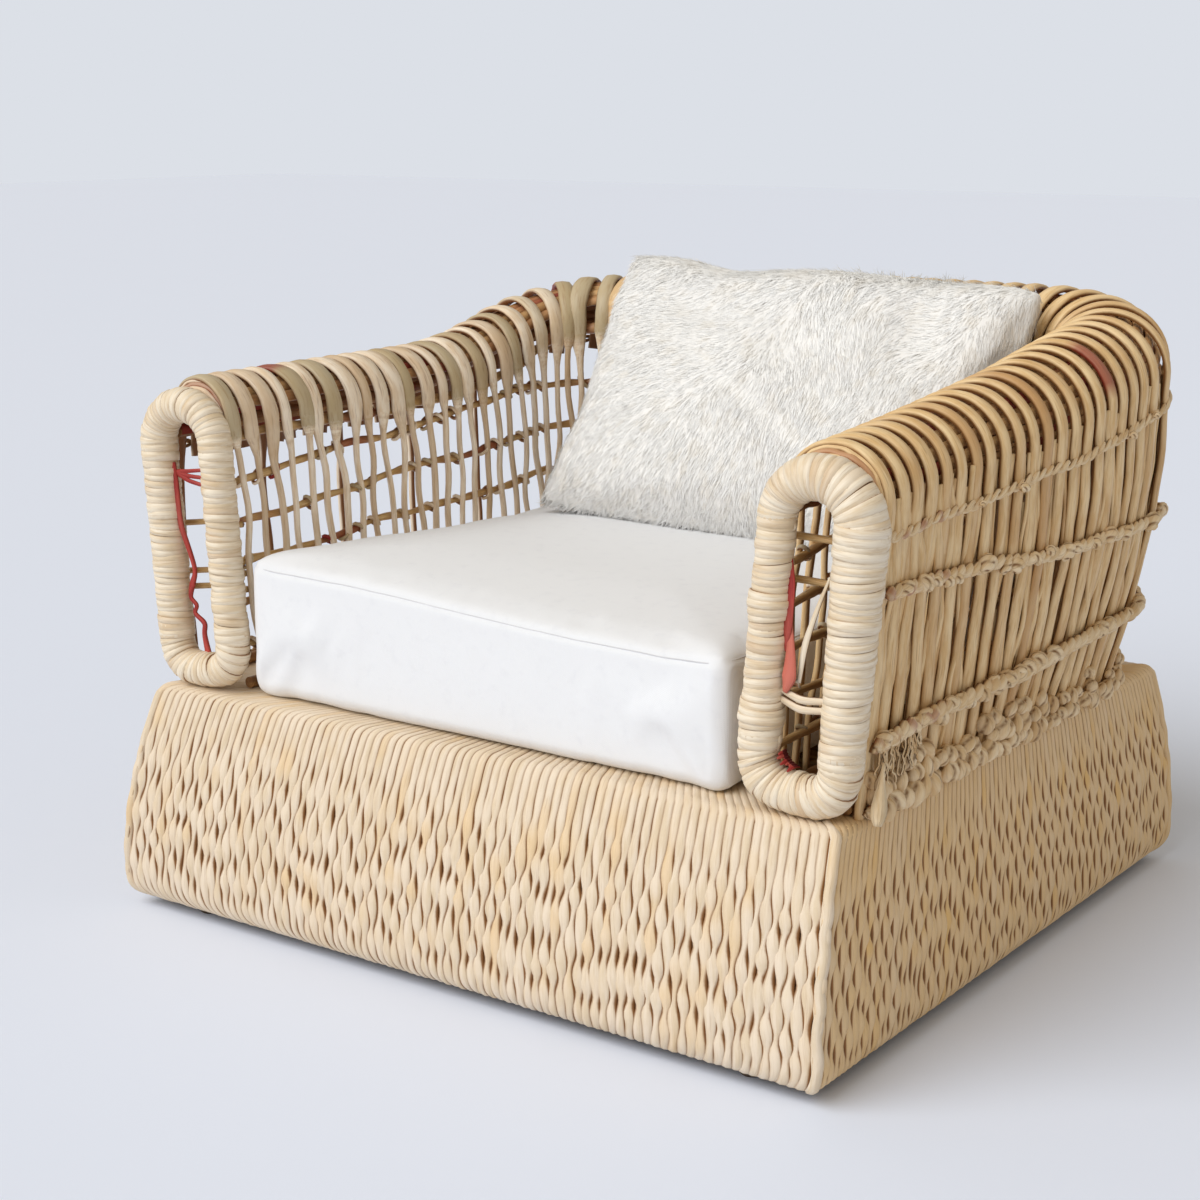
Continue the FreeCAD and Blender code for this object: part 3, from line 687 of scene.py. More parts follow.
class Bundle:
    """Canes and knots that are laid in their places and gathered into one mesh."""

    def __init__(self, sides: int = 8) -> None:
        """Starts an empty bundle.

        Args:
            sides: Faces around its canes.
        """
        self.sides = sides
        self.parts: list[tuple[Array, ...]] = []
        self.point_count = 0
        self.corner_count = 0

    def _gather(self, blank: Blank, points: Array, marks: Array, wrap: Array) -> None:
        """Adds one shaped copy of a blank.

        Args:
            blank: The blank copied.
            points: Its points in place.
            marks: Tint, hue, accent and painted shade of each point.
            wrap: Wrapping of each face corner.
        """
        corners, starts = blank.corners + self.point_count, blank.starts + self.corner_count
        self.parts.append((points, corners, starts, marks, wrap))
        self.point_count += len(points)
        self.corner_count += len(blank.corners)

    def lay(self, line: Array, out: Array, width: Number, depth: Number, tint: float,
            hue: Number = 0.0, accent: Number = 0.0, square: float = 1.0, sunk_shade: Number = 0.0) -> None:
        """Bends a cane along a line.

        Args:
            line: Points along the middle of the cane.
            out: Direction that its face looks in, one for all points or one each.
            width: Half width along the face.
            depth: Half thickness.
            tint: Its own tone from 0, pale, to 1, toasted.
            hue: A second random value.
            accent: Share of red dye.
            square: Below 1 for a flatter, squarer section.
            sunk_shade: Extra painted shade on points that lie below their neighbours; below 0 it lightens the
                painted shade.
        """
        rings = len(line)
        blank = Blank.cane(self.sides, rings)
        ring = np.rint(blank.points[:, 2]).astype(int)
        run = unit(np.gradient(line, axis=0))
        facing = np.broadcast_to(out, line.shape)
        facing = unit(facing - run * (facing * run).sum(1, keepdims=True))
        across = np.cross(facing, run)
        each = [np.broadcast_to(value, rings)[ring] for value in (width, depth, tint, hue, accent, sunk_shade)]
        flat, tall, _ = (np.sign(blank.points) * np.abs(blank.points) ** square).T
        points = line[ring] + across[ring] * (flat * each[0])[:, None]
        points = points + facing[ring] * (tall * each[1])[:, None]
        wrap = blank.wrap.copy()
        wrap[:, 1] = travel(line)[np.rint(wrap[:, 1]).astype(int)]
        # Painted shade: none on the cane's face, more down its flanks and most underneath, plus the extra
        # shade given for sunk points.
        shade = np.clip(0.5 - 0.5 * blank.points[:, 1] + each[5], 0, 1)
        self._gather(blank, points, np.stack([*each[2:5], shade], 1), wrap)

    def put(self, blank: Blank, place: Matrix, tint: float, hue: float = 0.0, accent: float = 0.0) -> None:
        """Sets a copy of a knot or lashing in its place.

        Args:
            blank: The shape.
            place: Where it goes, with its turn and size.
            tint: Its own tone from 0 to 1.
            hue: A second random value.
            accent: Share of red dye.
        """
        turn = np.array(place)
        points = blank.points @ turn[:3, :3].T + turn[:3, 3]
        reach = np.linalg.norm(blank.points, axis=1)
        marks = np.empty((len(points), 4))
        marks[:, :3] = tint, hue, accent
        # Painted shade: points that lie deeper in the grooves darken.
        marks[:, 3] = np.clip((reach.max() - reach) * 2.2 + 0.15, 0, 1)
        self._gather(blank, points, marks, blank.wrap * (1.0, 0.02))

    def piece(self, name: str, finish: CaneFinish, slot: str, replaced: Sequence[str] = (),
              body: Body = Body.FRAME) -> None:
        """Makes the bundle one piece and hands it to its body.

        Args:
            name: Name of the piece.
            finish: Its finish.
            slot: The record's material slot; not used.
            replaced: Nodes that it stands for.
            body: The body it rides on.
        """
        *shape, wrap = (np.concatenate(rows) for rows in zip(*self.parts))
        mesh = new_mesh(name, *shape)
        mesh.uv_layers.new(name="UVMap").data.foreach_set("uv", wrap.astype(np.float32).ravel())
        mesh.materials.append(material_of(finish))
        piece = bpy.data.objects.new(name, mesh)
        bpy.context.scene.collection.objects.link(piece)
        settle(piece, body, replaced)


@dataclass
class RushBase:
    """Plinth of rush strands: four flared sides that turn over the top edge and under the bottom pole."""

    half_width: float = 0.490
    half_depth: float = 0.412
    side_flare: float = 0.016
    end_flare: float = 0.058
    height: float = 0.280
    widest: float = 0.038
    floor_gap: float = 0.008
    lip: float = 0.085
    rounding: float = 0.013
    pitch: float = 0.0114
    grain: float = 0.050
    strand_depth: float = 0.0046
    rings: int = 72
    weave_starts: Pair = (0.015, 0.11)
    weave_ends: Pair = (0.225, 0.262)
    sheet_inset: float = 0.010
    sheet_thickness: float = 0.002

    def sizes(self, face: Face) -> tuple[float, float, float, float]:
        """Half length, distance, flare and neighbour's flare of one side.

        Args:
            face: The side.

        Returns:
            The four sizes.
        """
        if face in (Face.FRONT, Face.REAR):
            return self.half_width, self.half_depth, self.end_flare, self.side_flare
        return self.half_depth, self.half_width, self.side_flare, self.end_flare

    def profile(self, flare: float) -> tuple[Array, Array, Array]:
        """Section of one side from the inner edge of its lip to the floor.

        Args:
            flare: How far the foot stands out from the top edge.

        Returns:
            Points (outwards, upwards), their outward directions and the distance down from the top edge.
        """
        drop = self.height - self.widest
        sweep = (flare ** 2 + drop ** 2) / (2 * flare)
        tuck = self.widest - self.floor_gap
        down = np.linspace(math.asin(drop / sweep), 0, 120)
        under = np.linspace(0, -math.pi / 2, 40)[1:]
        runs = [np.stack([np.linspace(-self.lip - self.rounding, 0, 60)[:-1], np.full(59, self.height)], 1),
                np.stack([flare - sweep + sweep * np.cos(down), self.widest + sweep * np.sin(down)], 1),
                np.stack([flare - tuck + tuck * np.cos(under), self.widest + tuck * np.sin(under)], 1)]
        rough = np.concatenate(runs)
        travelled = travel(rough)
        wanted = np.linspace(self.rounding, travelled[-1] - self.rounding, self.rings)
        spread = np.linspace(-self.rounding, self.rounding, 15)
        points = np.mean([look_up(wanted + shift, travelled, rough) for shift in spread], axis=0)
        run = unit(np.gradient(points, axis=0))
        return points, np.stack([-run[:, 1], run[:, 0]], 1), wanted - self.lip - self.rounding

    def reach(self, face: Face, points: Array) -> Array:
        """Half length of a side at each point of its section, out to the mitre.

        Args:
            face: The side.
            points: Points (outwards, upwards) of the section.

        Returns:
            Half lengths.
        """
        half, _, flare, neighbour = self.sizes(face)
        outwards, upwards = points[:, 0], points[:, 1]
        wall = half + neighbour * np.clip(outwards / flare, 0, 1) + np.minimum(outwards, 0)
        return np.where(upwards < self.widest, half + neighbour - (flare - outwards), wall)

    @staticmethod
    def turn(face: Face, along: Number, outwards: Number, upwards: Number) -> Array:
        """Brings a side's own directions to the chair's.

        Args:
            face: The side.
            along: To the right, seen from outside.
            outwards: Away from the middle.
            upwards: Up.

        Returns:
            Points or directions in the chair's frame.
        """
        along, outwards, upwards = np.broadcast_arrays(along, outwards, upwards)
        flat = {Face.FRONT: (along, -outwards), Face.RIGHT: (outwards, along),
                Face.REAR: (-along, outwards), Face.LEFT: (-outwards, -along)}[face]
        return np.stack([flat[0], flat[1], upwards], -1)

    def strands(self, face: Face, rng: Draws) -> None:
        """Strands of one side, with one more down the mitre at its right end.

        Args:
            face: The side.
            rng: Source of the unevenness.
        """
        _, distance, flare, _ = self.sizes(face)
        points, outward, down = self.profile(flare)
        half = self.reach(face, points)
        count = round(2 * half.max() / self.pitch)
        bundle = Bundle(8)
        woven = smoothstep(*self.weave_starts, down) * (1 - 0.75 * smoothstep(*self.weave_ends, down))
        out = self.turn(face, 0.0, outward[:, 0], outward[:, 1])
        corner_out = unit(out + self.turn(face, 0.7, 0.0, 0.0))
        for index in range(count + 1):
            edge = index == count
            last = index in (0, count - 1, count)
            share = 1.0 if edge else -1 + 2 * (index + 0.5 + rng.uniform(-0.05, 0.05)) / count
            step = 2 * half / count
            grain = self.grain * rng.uniform(0.94, 1.06)
            phase = 2 * math.pi * down / grain + math.pi * index + 1.1 * wander(rng, down, 0.20)
            phase = phase + rng.normal(0, 0.25)
            beat = np.cos(phase) * woven * (0.12 if last else 1.0)
            drift = np.array([noise.noise(Vector((share * half[0] * 7, d * 9, face.value * 5.0)))
                              for d in down])
            sway = 0.0014 * np.sin(phase + 0.3) * woven + 0.0016 * drift * woven
            width = step / 2 * ((1.0 if last else 1.28) + 0.30 * beat) * rng.uniform(0.97, 1.06)
            lift = 0.0010 * beat - self.strand_depth
            line = self.turn(face, share * half + sway + (lift if edge else 0.0),
                             distance + points[:, 0] + outward[:, 0] * lift,
                             points[:, 1] + outward[:, 1] * lift)
            depth = self.strand_depth * (1 + 0.10 * beat) * (1.35 if edge else 1.0)
            tint = rng.uniform(0, 1)
            # Painted shade: every strand of the right side is toasted darker and warmer, for that side facing
            # away from the key light.
            tint = 0.84 + 0.10 * tint if face is Face.RIGHT else 0.62 * tint
            # The last value is painted shade: less on the end strands, more where a strand sinks between its
            # neighbours' bellies.
            bundle.lay(line, corner_out if edge else out, width, depth, tint, rng.uniform(), 0.0, 0.86,
                       (-0.7 if last else 0.0) - 0.05 * beat)
        bundle.piece(f"{face.label}_rush_strands", RUSH, "rush_weave", [f"{face.label}_skirt"])

    def backing(self, face: Face) -> None:
        """Dark brown sheet that the strands of one side lie on, painted shade that shows in the gaps between
        the strands.

        Args:
            face: The side.
        """
        _, distance, flare, _ = self.sizes(face)
        points, outward, _ = self.profile(flare)
        half = self.reach(face, points) - self.sheet_inset
        clear_selection()
        bpy.ops.mesh.primitive_grid_add(x_subdivisions=12, y_subdivisions=self.rings - 1, size=2.0)
        sheet = bpy.context.object
        sheet.name = f"{face.label}_rush_backing"
        place = np.array([v.co for v in sheet.data.vertices])
        ring = np.rint((1 - place[:, 1]) / 2 * (self.rings - 1)).astype(int)
        sink = -2.1 * self.strand_depth
        laid = self.turn(face, place[:, 0] * half[ring], distance + points[ring, 0] + outward[ring, 0] * sink,
                         points[ring, 1] + outward[ring, 1] * sink)
        move_points(sheet.data, laid)
        with editing():
            thicken = {"value": -self.sheet_thickness}
            bpy.ops.mesh.extrude_region_shrink_fatten(TRANSFORM_OT_shrink_fatten=thicken)
            face_outwards()
        bpy.ops.object.shade_smooth_by_angle(angle=math.radians(40))
        sheet.data.materials.append(material_of(RUSH_SHADE_SHEET))
        settle(sheet, Body.FRAME)

    def build(self) -> None:
        """Covers the four sides."""
        rng = Seed.RUSH.draws()
        for face in Face:
            self.strands(face, rng)
            self.backing(face)


@dataclass
class TubPlan:
    """Leaning double wall of the tub, from the front of the right arm round to the front of the left arm."""

    half_width: float = 0.424
    rear: float = 0.347
    corner: float = 0.110
    front: float = -0.354
    waist: float = 0.280
    lean: float = math.radians(4.0)
    roll_radius: float = 0.058
    roll_front: Pair = (-0.362, 0.605)
    roll_middles: tuple = ((0.010, 0.634), (0.115, 0.608))
    roll_rear: float = 0.688
    roll_sweep: float = 0.700
    fullness: float = 0.034

    @property
    def arm(self) -> float:
        """Straight length of one arm."""
        return self.rear - self.corner - self.front

    @property
    def length(self) -> float:
        """Whole length round the tub."""
        return 2 * (self.arm + self.corner * math.pi / 2 + self.half_width - self.corner)

    @property
    def back_end(self) -> float:
        """Distance at which the back ends and the left corner starts."""
        return self.length - self.arm - self.corner * math.pi / 2

    def all_round(self, past: float) -> Array:
        """Close distances round the whole tub and a little past both its ends."""
        return np.linspace(-past, self.length + past, 300)

    def foot(self, distance: Array) -> tuple[Array, Array, Array]:
        """Foot of the wall's middle and its outward direction.

        Args:
            distance: Distances round the tub.

        Returns:
            Points at the waist, outward directions, and the turn into the corner in radians.
        """
        near = np.minimum(distance, self.length - distance)
        sign = np.where(distance > self.length / 2, -1.0, 1.0)
        turn = np.clip((near - self.arm) / self.corner, 0, math.pi / 2)
        past = np.maximum(0, near - self.arm - self.corner * math.pi / 2)
        x = self.half_width - self.corner * (1 - np.cos(turn)) - past
        y = self.front + np.minimum(near, self.arm) + self.corner * np.sin(turn)
        points = np.stack([sign * x, y, np.full_like(x, self.waist)], 1)
        outward = np.stack([sign * np.cos(turn), np.sin(turn), np.zeros_like(x)], 1)
        return points, outward, turn

    def roll_height(self, distance: Array) -> Array:
        """Height of the roll's axis, which rises to the back differently on each arm.

        Args:
            distance: Distances round the tub.

        Returns:
            Heights.
        """
        points, _, turn = self.foot(distance)
        left = distance > self.length / 2
        lean_out = (self.roll_rear - self.waist) * math.tan(self.lean)
        heights = []
        for middle_y, middle_z in self.roll_middles:
            gentle = (middle_z - self.roll_front[1]) / (middle_y - self.roll_front[0])
            steep = (self.roll_rear - middle_z) / (self.rear + lean_out - middle_y)
            reach = self.roll_sweep * math.tan((math.atan(steep) - math.atan(gentle)) / 2)
            y = np.minimum(points[:, 1], self.rear - self.corner) - middle_y
            bend = np.clip(y + reach, 0, 2 * reach) ** 2 / (4 * reach) + np.maximum(0, y - reach)
            rise = (self.corner + lean_out) * math.sin(math.atan(steep)) * np.sin(turn)
            heights.append(middle_z + gentle * y + (steep - gentle) * bend + rise)
        return np.where(left, heights[1], heights[0])

    def swell(self, distance: Array) -> Array:
        """How much fuller the outside of the roll is, from the rear of the right arm to the back."""
        return self.fullness * smoothstep(0.05, 0.50, distance) * (1 - smoothstep(1.0, 1.3, distance))

    def directions(self, distance: Array) -> tuple[Array, Array, Array]:
        """Directions of the leaning wall.

        Args:
            distance: Distances round the tub.

        Returns:
            Directions along the wall towards the left arm, out of the wall, and up the wall.
        """
        _, outward, _ = self.foot(distance)
        along = np.stack([-outward[:, 1], outward[:, 0], np.zeros(len(outward))], 1)
        out = outward * math.cos(self.lean) - UP * math.sin(self.lean)
        up = outward * math.sin(self.lean) + UP * math.cos(self.lean)
        return along, out, up

    def wall_point(self, distance: Array, height: Number, offset: Number) -> Array:
        """Points beside the wall.

        Args:
            distance: Distances round the tub.
            height: Heights above the floor of the wall's middle there.
            offset: Distance out of the wall's middle.

        Returns:
            The points.
        """
        points, outward, _ = self.foot(distance)
        _, out, _ = self.directions(distance)
        rise = (np.broadcast_to(height, len(points)) - self.waist)[:, None]
        return points + outward * rise * math.tan(self.lean) + UP * rise + out * np.reshape(offset, (-1, 1))

    def outside(self, distance: Array, height: Number, offset: Number) -> Array:
        """Points beside the outside of the wall, which follow its fullness.

        Args:
            distance: Distances round the tub.
            height: Heights above the floor.
            offset: Distance out of the wall's middle where the wall isn't fuller.

        Returns:
            The points.
        """
        share = (height - self.waist) / (self.roll_height(distance) - self.waist)
        bulge = np.sin(math.pi / 2 * np.clip(share / 0.75, 0, 1)) - 0.15 * smoothstep(0.75, 1.0, share)
        return self.wall_point(distance, height, offset + self.swell(distance) * bulge)

    def roll_point(self, distance: Array, angle: Number, radius: Number) -> Array:
        """Points round the roll.

        Args:
            distance: Distances round the tub.
            angle: Angle from outside over the top to inside, in radians.
            radius: Distance from the roll's axis where the roll isn't fuller.

        Returns:
            The points.
        """
        _, out, up = self.directions(distance)
        full = radius + self.swell(distance) * 0.85 * (0.5 + 0.5 * np.cos(angle))
        angle = np.reshape(angle, (-1, 1))
        centre = self.wall_point(distance, self.roll_height(distance), 0.0)
        return centre + (out * np.cos(angle) + up * np.sin(angle)) * np.reshape(full, (-1, 1))


class Group(Enum):
    """Groups of ribs: first rib, end and half width of a rib over the roll."""

    RIGHT_ARM = (0, 21, 0.0098)
    RIGHT_CORNER = (21, 26, 0.0102)
    BACK = (26, 48, 0.0104)
    LEFT_CORNER = (48, 53, 0.0124)
    LEFT_ARM = (53, 74, 0.0128)

    @property
    def label(self) -> str:
        """Name of the group in the node names."""
        return self.name.lower()

    @property
    def open(self) -> bool:
        """True where the outside of the wall is open."""
        return self in (Group.LEFT_ARM, Group.LEFT_CORNER)


@dataclass
class CaneTub:
    """Bent ribs, outer strips, lattice rods and the canes of the roll."""

    plan: TubPlan
    rib_count: int = 74
    open_leg_step: int = 5
    rib_foot: float = 0.2807
    tail: float = 0.045
    thin: float = 0.0040
    leg: float = 0.0060
    strips_per_gap: int = 2
    strip: float = 0.0046
    lattice_low: float = 0.335
    lattice_pitch: float = 0.0505
    lattice_rise: float = 0.015
    lattice_offset: float = -0.0465
    rod_count: int = 5
    rod: float = 0.0048
    liner_count: int = 21
    liner_first: float = -14.0
    liner_step: float = 8.0
    liner_radii: Pair = (0.0465, 0.0405)
    rail: float = 0.0066
    rail_drop: float = 0.014
    rail_offset: float = -0.0445

    @property
    def pitch(self) -> float:
        """Spacing of the ribs."""
        return self.plan.length / (self.rib_count - 1)

    def rib(self, bundle: Bundle, index: int, group: Group, rng: Draws) -> None:
        """Lays one rib: thin up the inside, broad over the roll, a strip down the outside or a short tail.

        Args:
            bundle: Where the rib is laid.
            index: Its number round the tub.
            group: Its group.
            rng: Source of the unevenness.
        """
        plan = self.plan
        at = np.array([index * self.pitch])
        along = plan.directions(at)[0][0]
        top = plan.roll_height(at)[0]
        short = group.open and (self.rib_count - 1 - index) % self.open_leg_step
        arch = np.linspace(math.pi, 0, 30)[1:-1]
        inner = np.linspace(self.rib_foot, top, 24)
        outer = np.linspace(top, top - self.tail if short else self.rib_foot, 24)
        line = np.concatenate([plan.wall_point(np.repeat(at, 24), inner, -plan.roll_radius),
                               plan.roll_point(np.repeat(at, 28), arch, plan.roll_radius),
                               plan.outside(np.repeat(at, 24), outer, plan.roll_radius)])
        turn = np.concatenate([np.full(24, math.pi), arch, np.zeros(24)])
        away = np.concatenate([top - inner, np.zeros(28), top - outer])
        travelled = travel(line)
        inside = turn >= math.pi
        facing = plan.roll_point(np.repeat(at, 76), turn, 1.0) - plan.roll_point(np.repeat(at, 76), turn, 0.0)
        loose = np.where(inside, 1.0, 0.6) * smoothstep(0.0, 0.06, away)
        line = line + along * (0.0046 * loose * wander(rng, travelled, 0.28))[:, None]
        line = line + facing * (0.0016 * loose * wander(rng, travelled, 0.22))[:, None]
        strap = smoothstep(math.pi, math.pi * 0.80, turn)
        hang = rng.uniform(0.6, 1.5)
        if group.open:
            strap = np.where(inside, smoothstep(0.046 * hang, 0.008, away), 1.0)
        outside = smoothstep(0.0, 0.07, away) * (turn < 1)
        broad = group.value[2] * (rng.uniform(0.62, 1.14) if group.open else rng.uniform(0.88, 1.10))
        slant = rng.normal(0, 0.005 if group.open else 0.0012)
        line = line + along * (slant * np.cos(turn) * smoothstep(0.10, 0.0, away))[:, None]
        leg = self.leg * rng.uniform(0.85, 1.15) * (0.6 if group.open else 1.45)
        leg = broad * 0.85 if short else leg
        width = self.thin * rng.uniform(0.8, 1.2) * (1 - strap)
        width = width + strap * (broad * (1 - outside) + leg * outside)
        width = width * (1 + 0.06 * wander(rng, travelled, 0.06))
        depth = 0.0038 * (1 - strap) + strap * 0.0046
        dyed = rng.uniform() < (0.09 if group.open else 0.03)
        first = rng.uniform(0.2, 1.8)
        accent = smoothstep(first, first + 0.2, turn) * smoothstep(first + 1.1, first + 0.8, turn)
        tint = rng.uniform(0, 1) ** (0.7 if group.open else 1.5)
        # The last value lightens the painted flank shade of the thin inside canes and the outside legs.
        bundle.lay(line, facing, width, depth, tint, rng.uniform() * strap + 0.2 * (1 - strap),
                   0.8 * accent * dyed, 0.8, -0.4 * (1 - strap) - 0.15 * outside)

    def ribs(self) -> None:
        """Ribs in their groups round the tub."""
        rng = Seed.RIBS.draws()
        for group in Group:
            bundle = Bundle(8)
            for index in range(group.value[0], group.value[1]):
                self.rib(bundle, index, group, rng)
            if group in (Group.RIGHT_ARM, Group.LEFT_ARM):
                self.end_arches(bundle, group, rng)
            bundle.piece(f"{group.label}_bent_ribs", STRAP_CANE if group.open else BENT_CANE, "bent_cane",
                         [f"{group.label}_ribs"])

    def end_arches(self, bundle: Bundle, group: Group, rng: Draws) -> None:
        """Uneven canes that close the end of the roll behind an arm front.

        Args:
            bundle: Where they are laid.
            group: Group of the arm.
            rng: Source of the unevenness.
        """
        arch = np.linspace(math.pi * 1.04, -0.12, 40)
        for back, radius, width, stain in ((0.005, 0.0535, 0.0056, 0.0), (0.010, 0.0500, 0.0046, 0.4),
                                           (0.013, 0.0450, 0.0050, 0.0), (0.014, 0.0390, 0.0046, 0.25)):
            at = np.full(40, -back if group is Group.RIGHT_ARM else self.plan.length + back)
            line = self.plan.roll_point(at, arch, radius + 0.0012 * wander(rng, arch, 1.2))
            out = line - self.plan.roll_point(at, arch, 0.0)
            widths = width * (1 + 0.2 * wander(rng, arch, 0.8))
            bundle.lay(line, out, widths, 0.0042, rng.uniform(), rng.uniform(), stain)

    def strips(self) -> None:
        """Flat upright strips of the closed outside wall, between the ribs."""
        rng = Seed.STRIPS.draws()
        steps = self.strips_per_gap + 1
        bundles: dict[str, Bundle] = {}
        for step in range((self.rib_count - 1) * steps):
            group = next(g for g in Group if step / steps < g.value[1])
            if step % steps == 0 or group.open:
                continue
            bundle = bundles.setdefault(group.label.replace("corner", "arm"), Bundle(6))
            at = np.full(30, (step / steps + rng.uniform(-0.08, 0.08)) * self.pitch)
            top = self.plan.roll_height(at[:1])[0]
            height = np.linspace(top + rng.uniform(-0.004, 0.010), self.rib_foot, 30)
            down = top - height
            along, out, _ = self.plan.directions(at)
            slack = smoothstep(0, 0.05, down)
            offset = rng.uniform(0.0510, 0.0585) + 0.0022 * wander(rng, down, 0.2) * slack
            line = self.plan.outside(at, height, offset)
            lean = rng.normal(0, 0.006) * down / 0.3
            line = line + along * (0.0060 * wander(rng, down, 0.24) * slack + lean)[:, None]
            spread = 1.45 if group is Group.RIGHT_CORNER else 1.0
            width = self.strip * spread * rng.uniform(0.65, 1.5) * (1 + 0.15 * wander(rng, down, 0.12))
            width = width * np.where(height < 0.37, 0.72, 1.0)
            leaf = (at[0] < 0.13) * smoothstep(0.50, 0.53, height) * smoothstep(0.0, 0.03, down)
            # The last value lightens the painted flank shade of each strip.
            bundle.lay(line + out * 0.004 * leaf[:, None], out, width * (1 + 0.9 * leaf),
                       rng.uniform(0.002, 0.0032), rng.uniform(0, 1) ** (4 if at[0] < 0.13 else 1.3),
                       rng.uniform(), 0.0, 0.8, -0.18)
            if step % steps == 1 or group is Group.RIGHT_CORNER:
                behind = self.plan.outside(at + 0.5 * self.pitch / steps, height, 0.0485)
                # The strip behind gets a little more painted flank shade.
                bundle.lay(behind, out, 0.0105 * spread, 0.0018, 0.9, rng.uniform(), 0.0, 0.8, 0.1)
        for label, bundle in bundles.items():
            bundle.piece(f"{label}_outer_strips", BENT_CANE, "bent_cane", [f"{label}_outer_stakes"])

    def level(self, front: float, rear: float, distance: Array) -> Array:
        """Heights of a row that goes from one height at the arm fronts to another at the back."""
        share = (self.plan.foot(distance)[0][:, 1] - self.plan.front) / (self.plan.rear - self.plan.front)
        return front + (rear - front) * share

    def lattice(self) -> None:
        """Uneven rods round the inside, lashed to the ribs where they cross."""
        rng = Seed.LATTICE.draws()
        lashings = Bundle(6)
        ring = Blank.ring(0.3)
        distance = self.plan.all_round(0.008)
        stops = np.arange(self.rib_count) * self.pitch
        for index in range(self.rod_count):
            front = self.lattice_low + index * self.lattice_pitch
            height = self.level(front, front + index * self.lattice_rise, distance)
            height = height + 0.0042 * wander(rng, distance, 0.36)
            offset = self.lattice_offset + 0.0012 * wander(rng, distance, 0.3)
            line = self.plan.wall_point(distance, height, offset)
            _, out, _ = self.plan.directions(distance)
            rod = Bundle(7)
            width = self.rod * (1 + 0.22 * wander(rng, distance, 0.09))
            red = smoothstep(0.62, 0.85, wander(rng, distance, 0.5)) * (0.7 if index >= 2 else 0.0)
            # The last value lightens the painted flank shade of the rod.
            rod.lay(line, -out, width, width, rng.uniform(0.1, 0.7), rng.uniform(), red, 1.0, -0.25)
            rod.piece(f"lattice_cane_{index + 1}", BROWN_RATTAN, "brown_rattan", [f"lattice_rod_{index + 1}"])
            for stop in stops:
                if rng.uniform() < 0.45:
                    continue
                middle = look_up(stop, distance, line)
                along, out, up = (Vector(d[0]) for d in self.plan.directions(np.array([stop])))
                turn = Matrix((along, up, out)).transposed().to_4x4()
                slant = rng.choice([-1, 1]) * math.radians(45) + rng.uniform(-0.3, 0.3)
                tilt = Matrix.Rotation(slant, 4, "Z")
                squash = Matrix.Diagonal((0.0062, 0.0094, 0.0068, 1.0)) @ Matrix.Rotation(math.pi / 2, 4, "Y")
                place = Matrix.Translation(Vector(middle) - out * 0.0045) @ turn @ tilt @ squash
                lashings.put(ring, place, rng.uniform(0, 1), rng.uniform(), float(rng.uniform() < 0.06))
        lashings.piece("lattice_lashings", STRAP_CANE, "rush_twine")

    def roll_canes(self) -> None:
        """Dark canes that run along the roll under the ribs."""
        rng = Seed.ROLL.draws()
        distance = self.plan.all_round(0.006)
        bundle = Bundle(6)
        for order in range(self.liner_count):
            angle = math.radians(self.liner_step * order + self.liner_first)
            angle = angle + 0.05 * wander(rng, distance, 0.5)
            line = self.plan.roll_point(distance, angle, self.liner_radii[order % 2])
            out = line - self.plan.roll_point(distance, angle, 0.0)
            red = smoothstep(0.6, 0.85, wander(rng, distance, 0.4)) * 0.9
            bundle.lay(line, out, 0.0082, 0.0042, rng.uniform(), rng.uniform(), red)
        bundle.piece("roll_liner_canes", LINER_CANE, "brown_rattan", ["roll_canes"])

    def top_rail(self) -> None:
        """Lumpy brown rail under the inner shoulder of the roll, with dyed stretches."""
        rng = Seed.RAIL.draws()
        distance = self.plan.all_round(0.008)
        height = self.plan.roll_height(distance) - self.rail_drop + 0.003 * wander(rng, distance, 0.3)
        line = self.plan.wall_point(distance, height, self.rail_offset)
        _, out, _ = self.plan.directions(distance)
        width = self.rail * (1 + 0.24 * wander(rng, distance, 0.07))
        red = smoothstep(0.35, 0.75, wander(rng, distance, 0.45)) * 0.55
        bundle = Bundle(8)
        bundle.lay(line, -out, width, width, 0.6, 0.3, red)
        bundle.piece("inner_shoulder_rail", BROWN_RATTAN, "brown_rattan", ["inner_top_rail"])

    def build(self) -> None:
        """Builds the wall."""
        self.ribs()
        self.strips()
        self.lattice()
        self.roll_canes()
        self.top_rail()


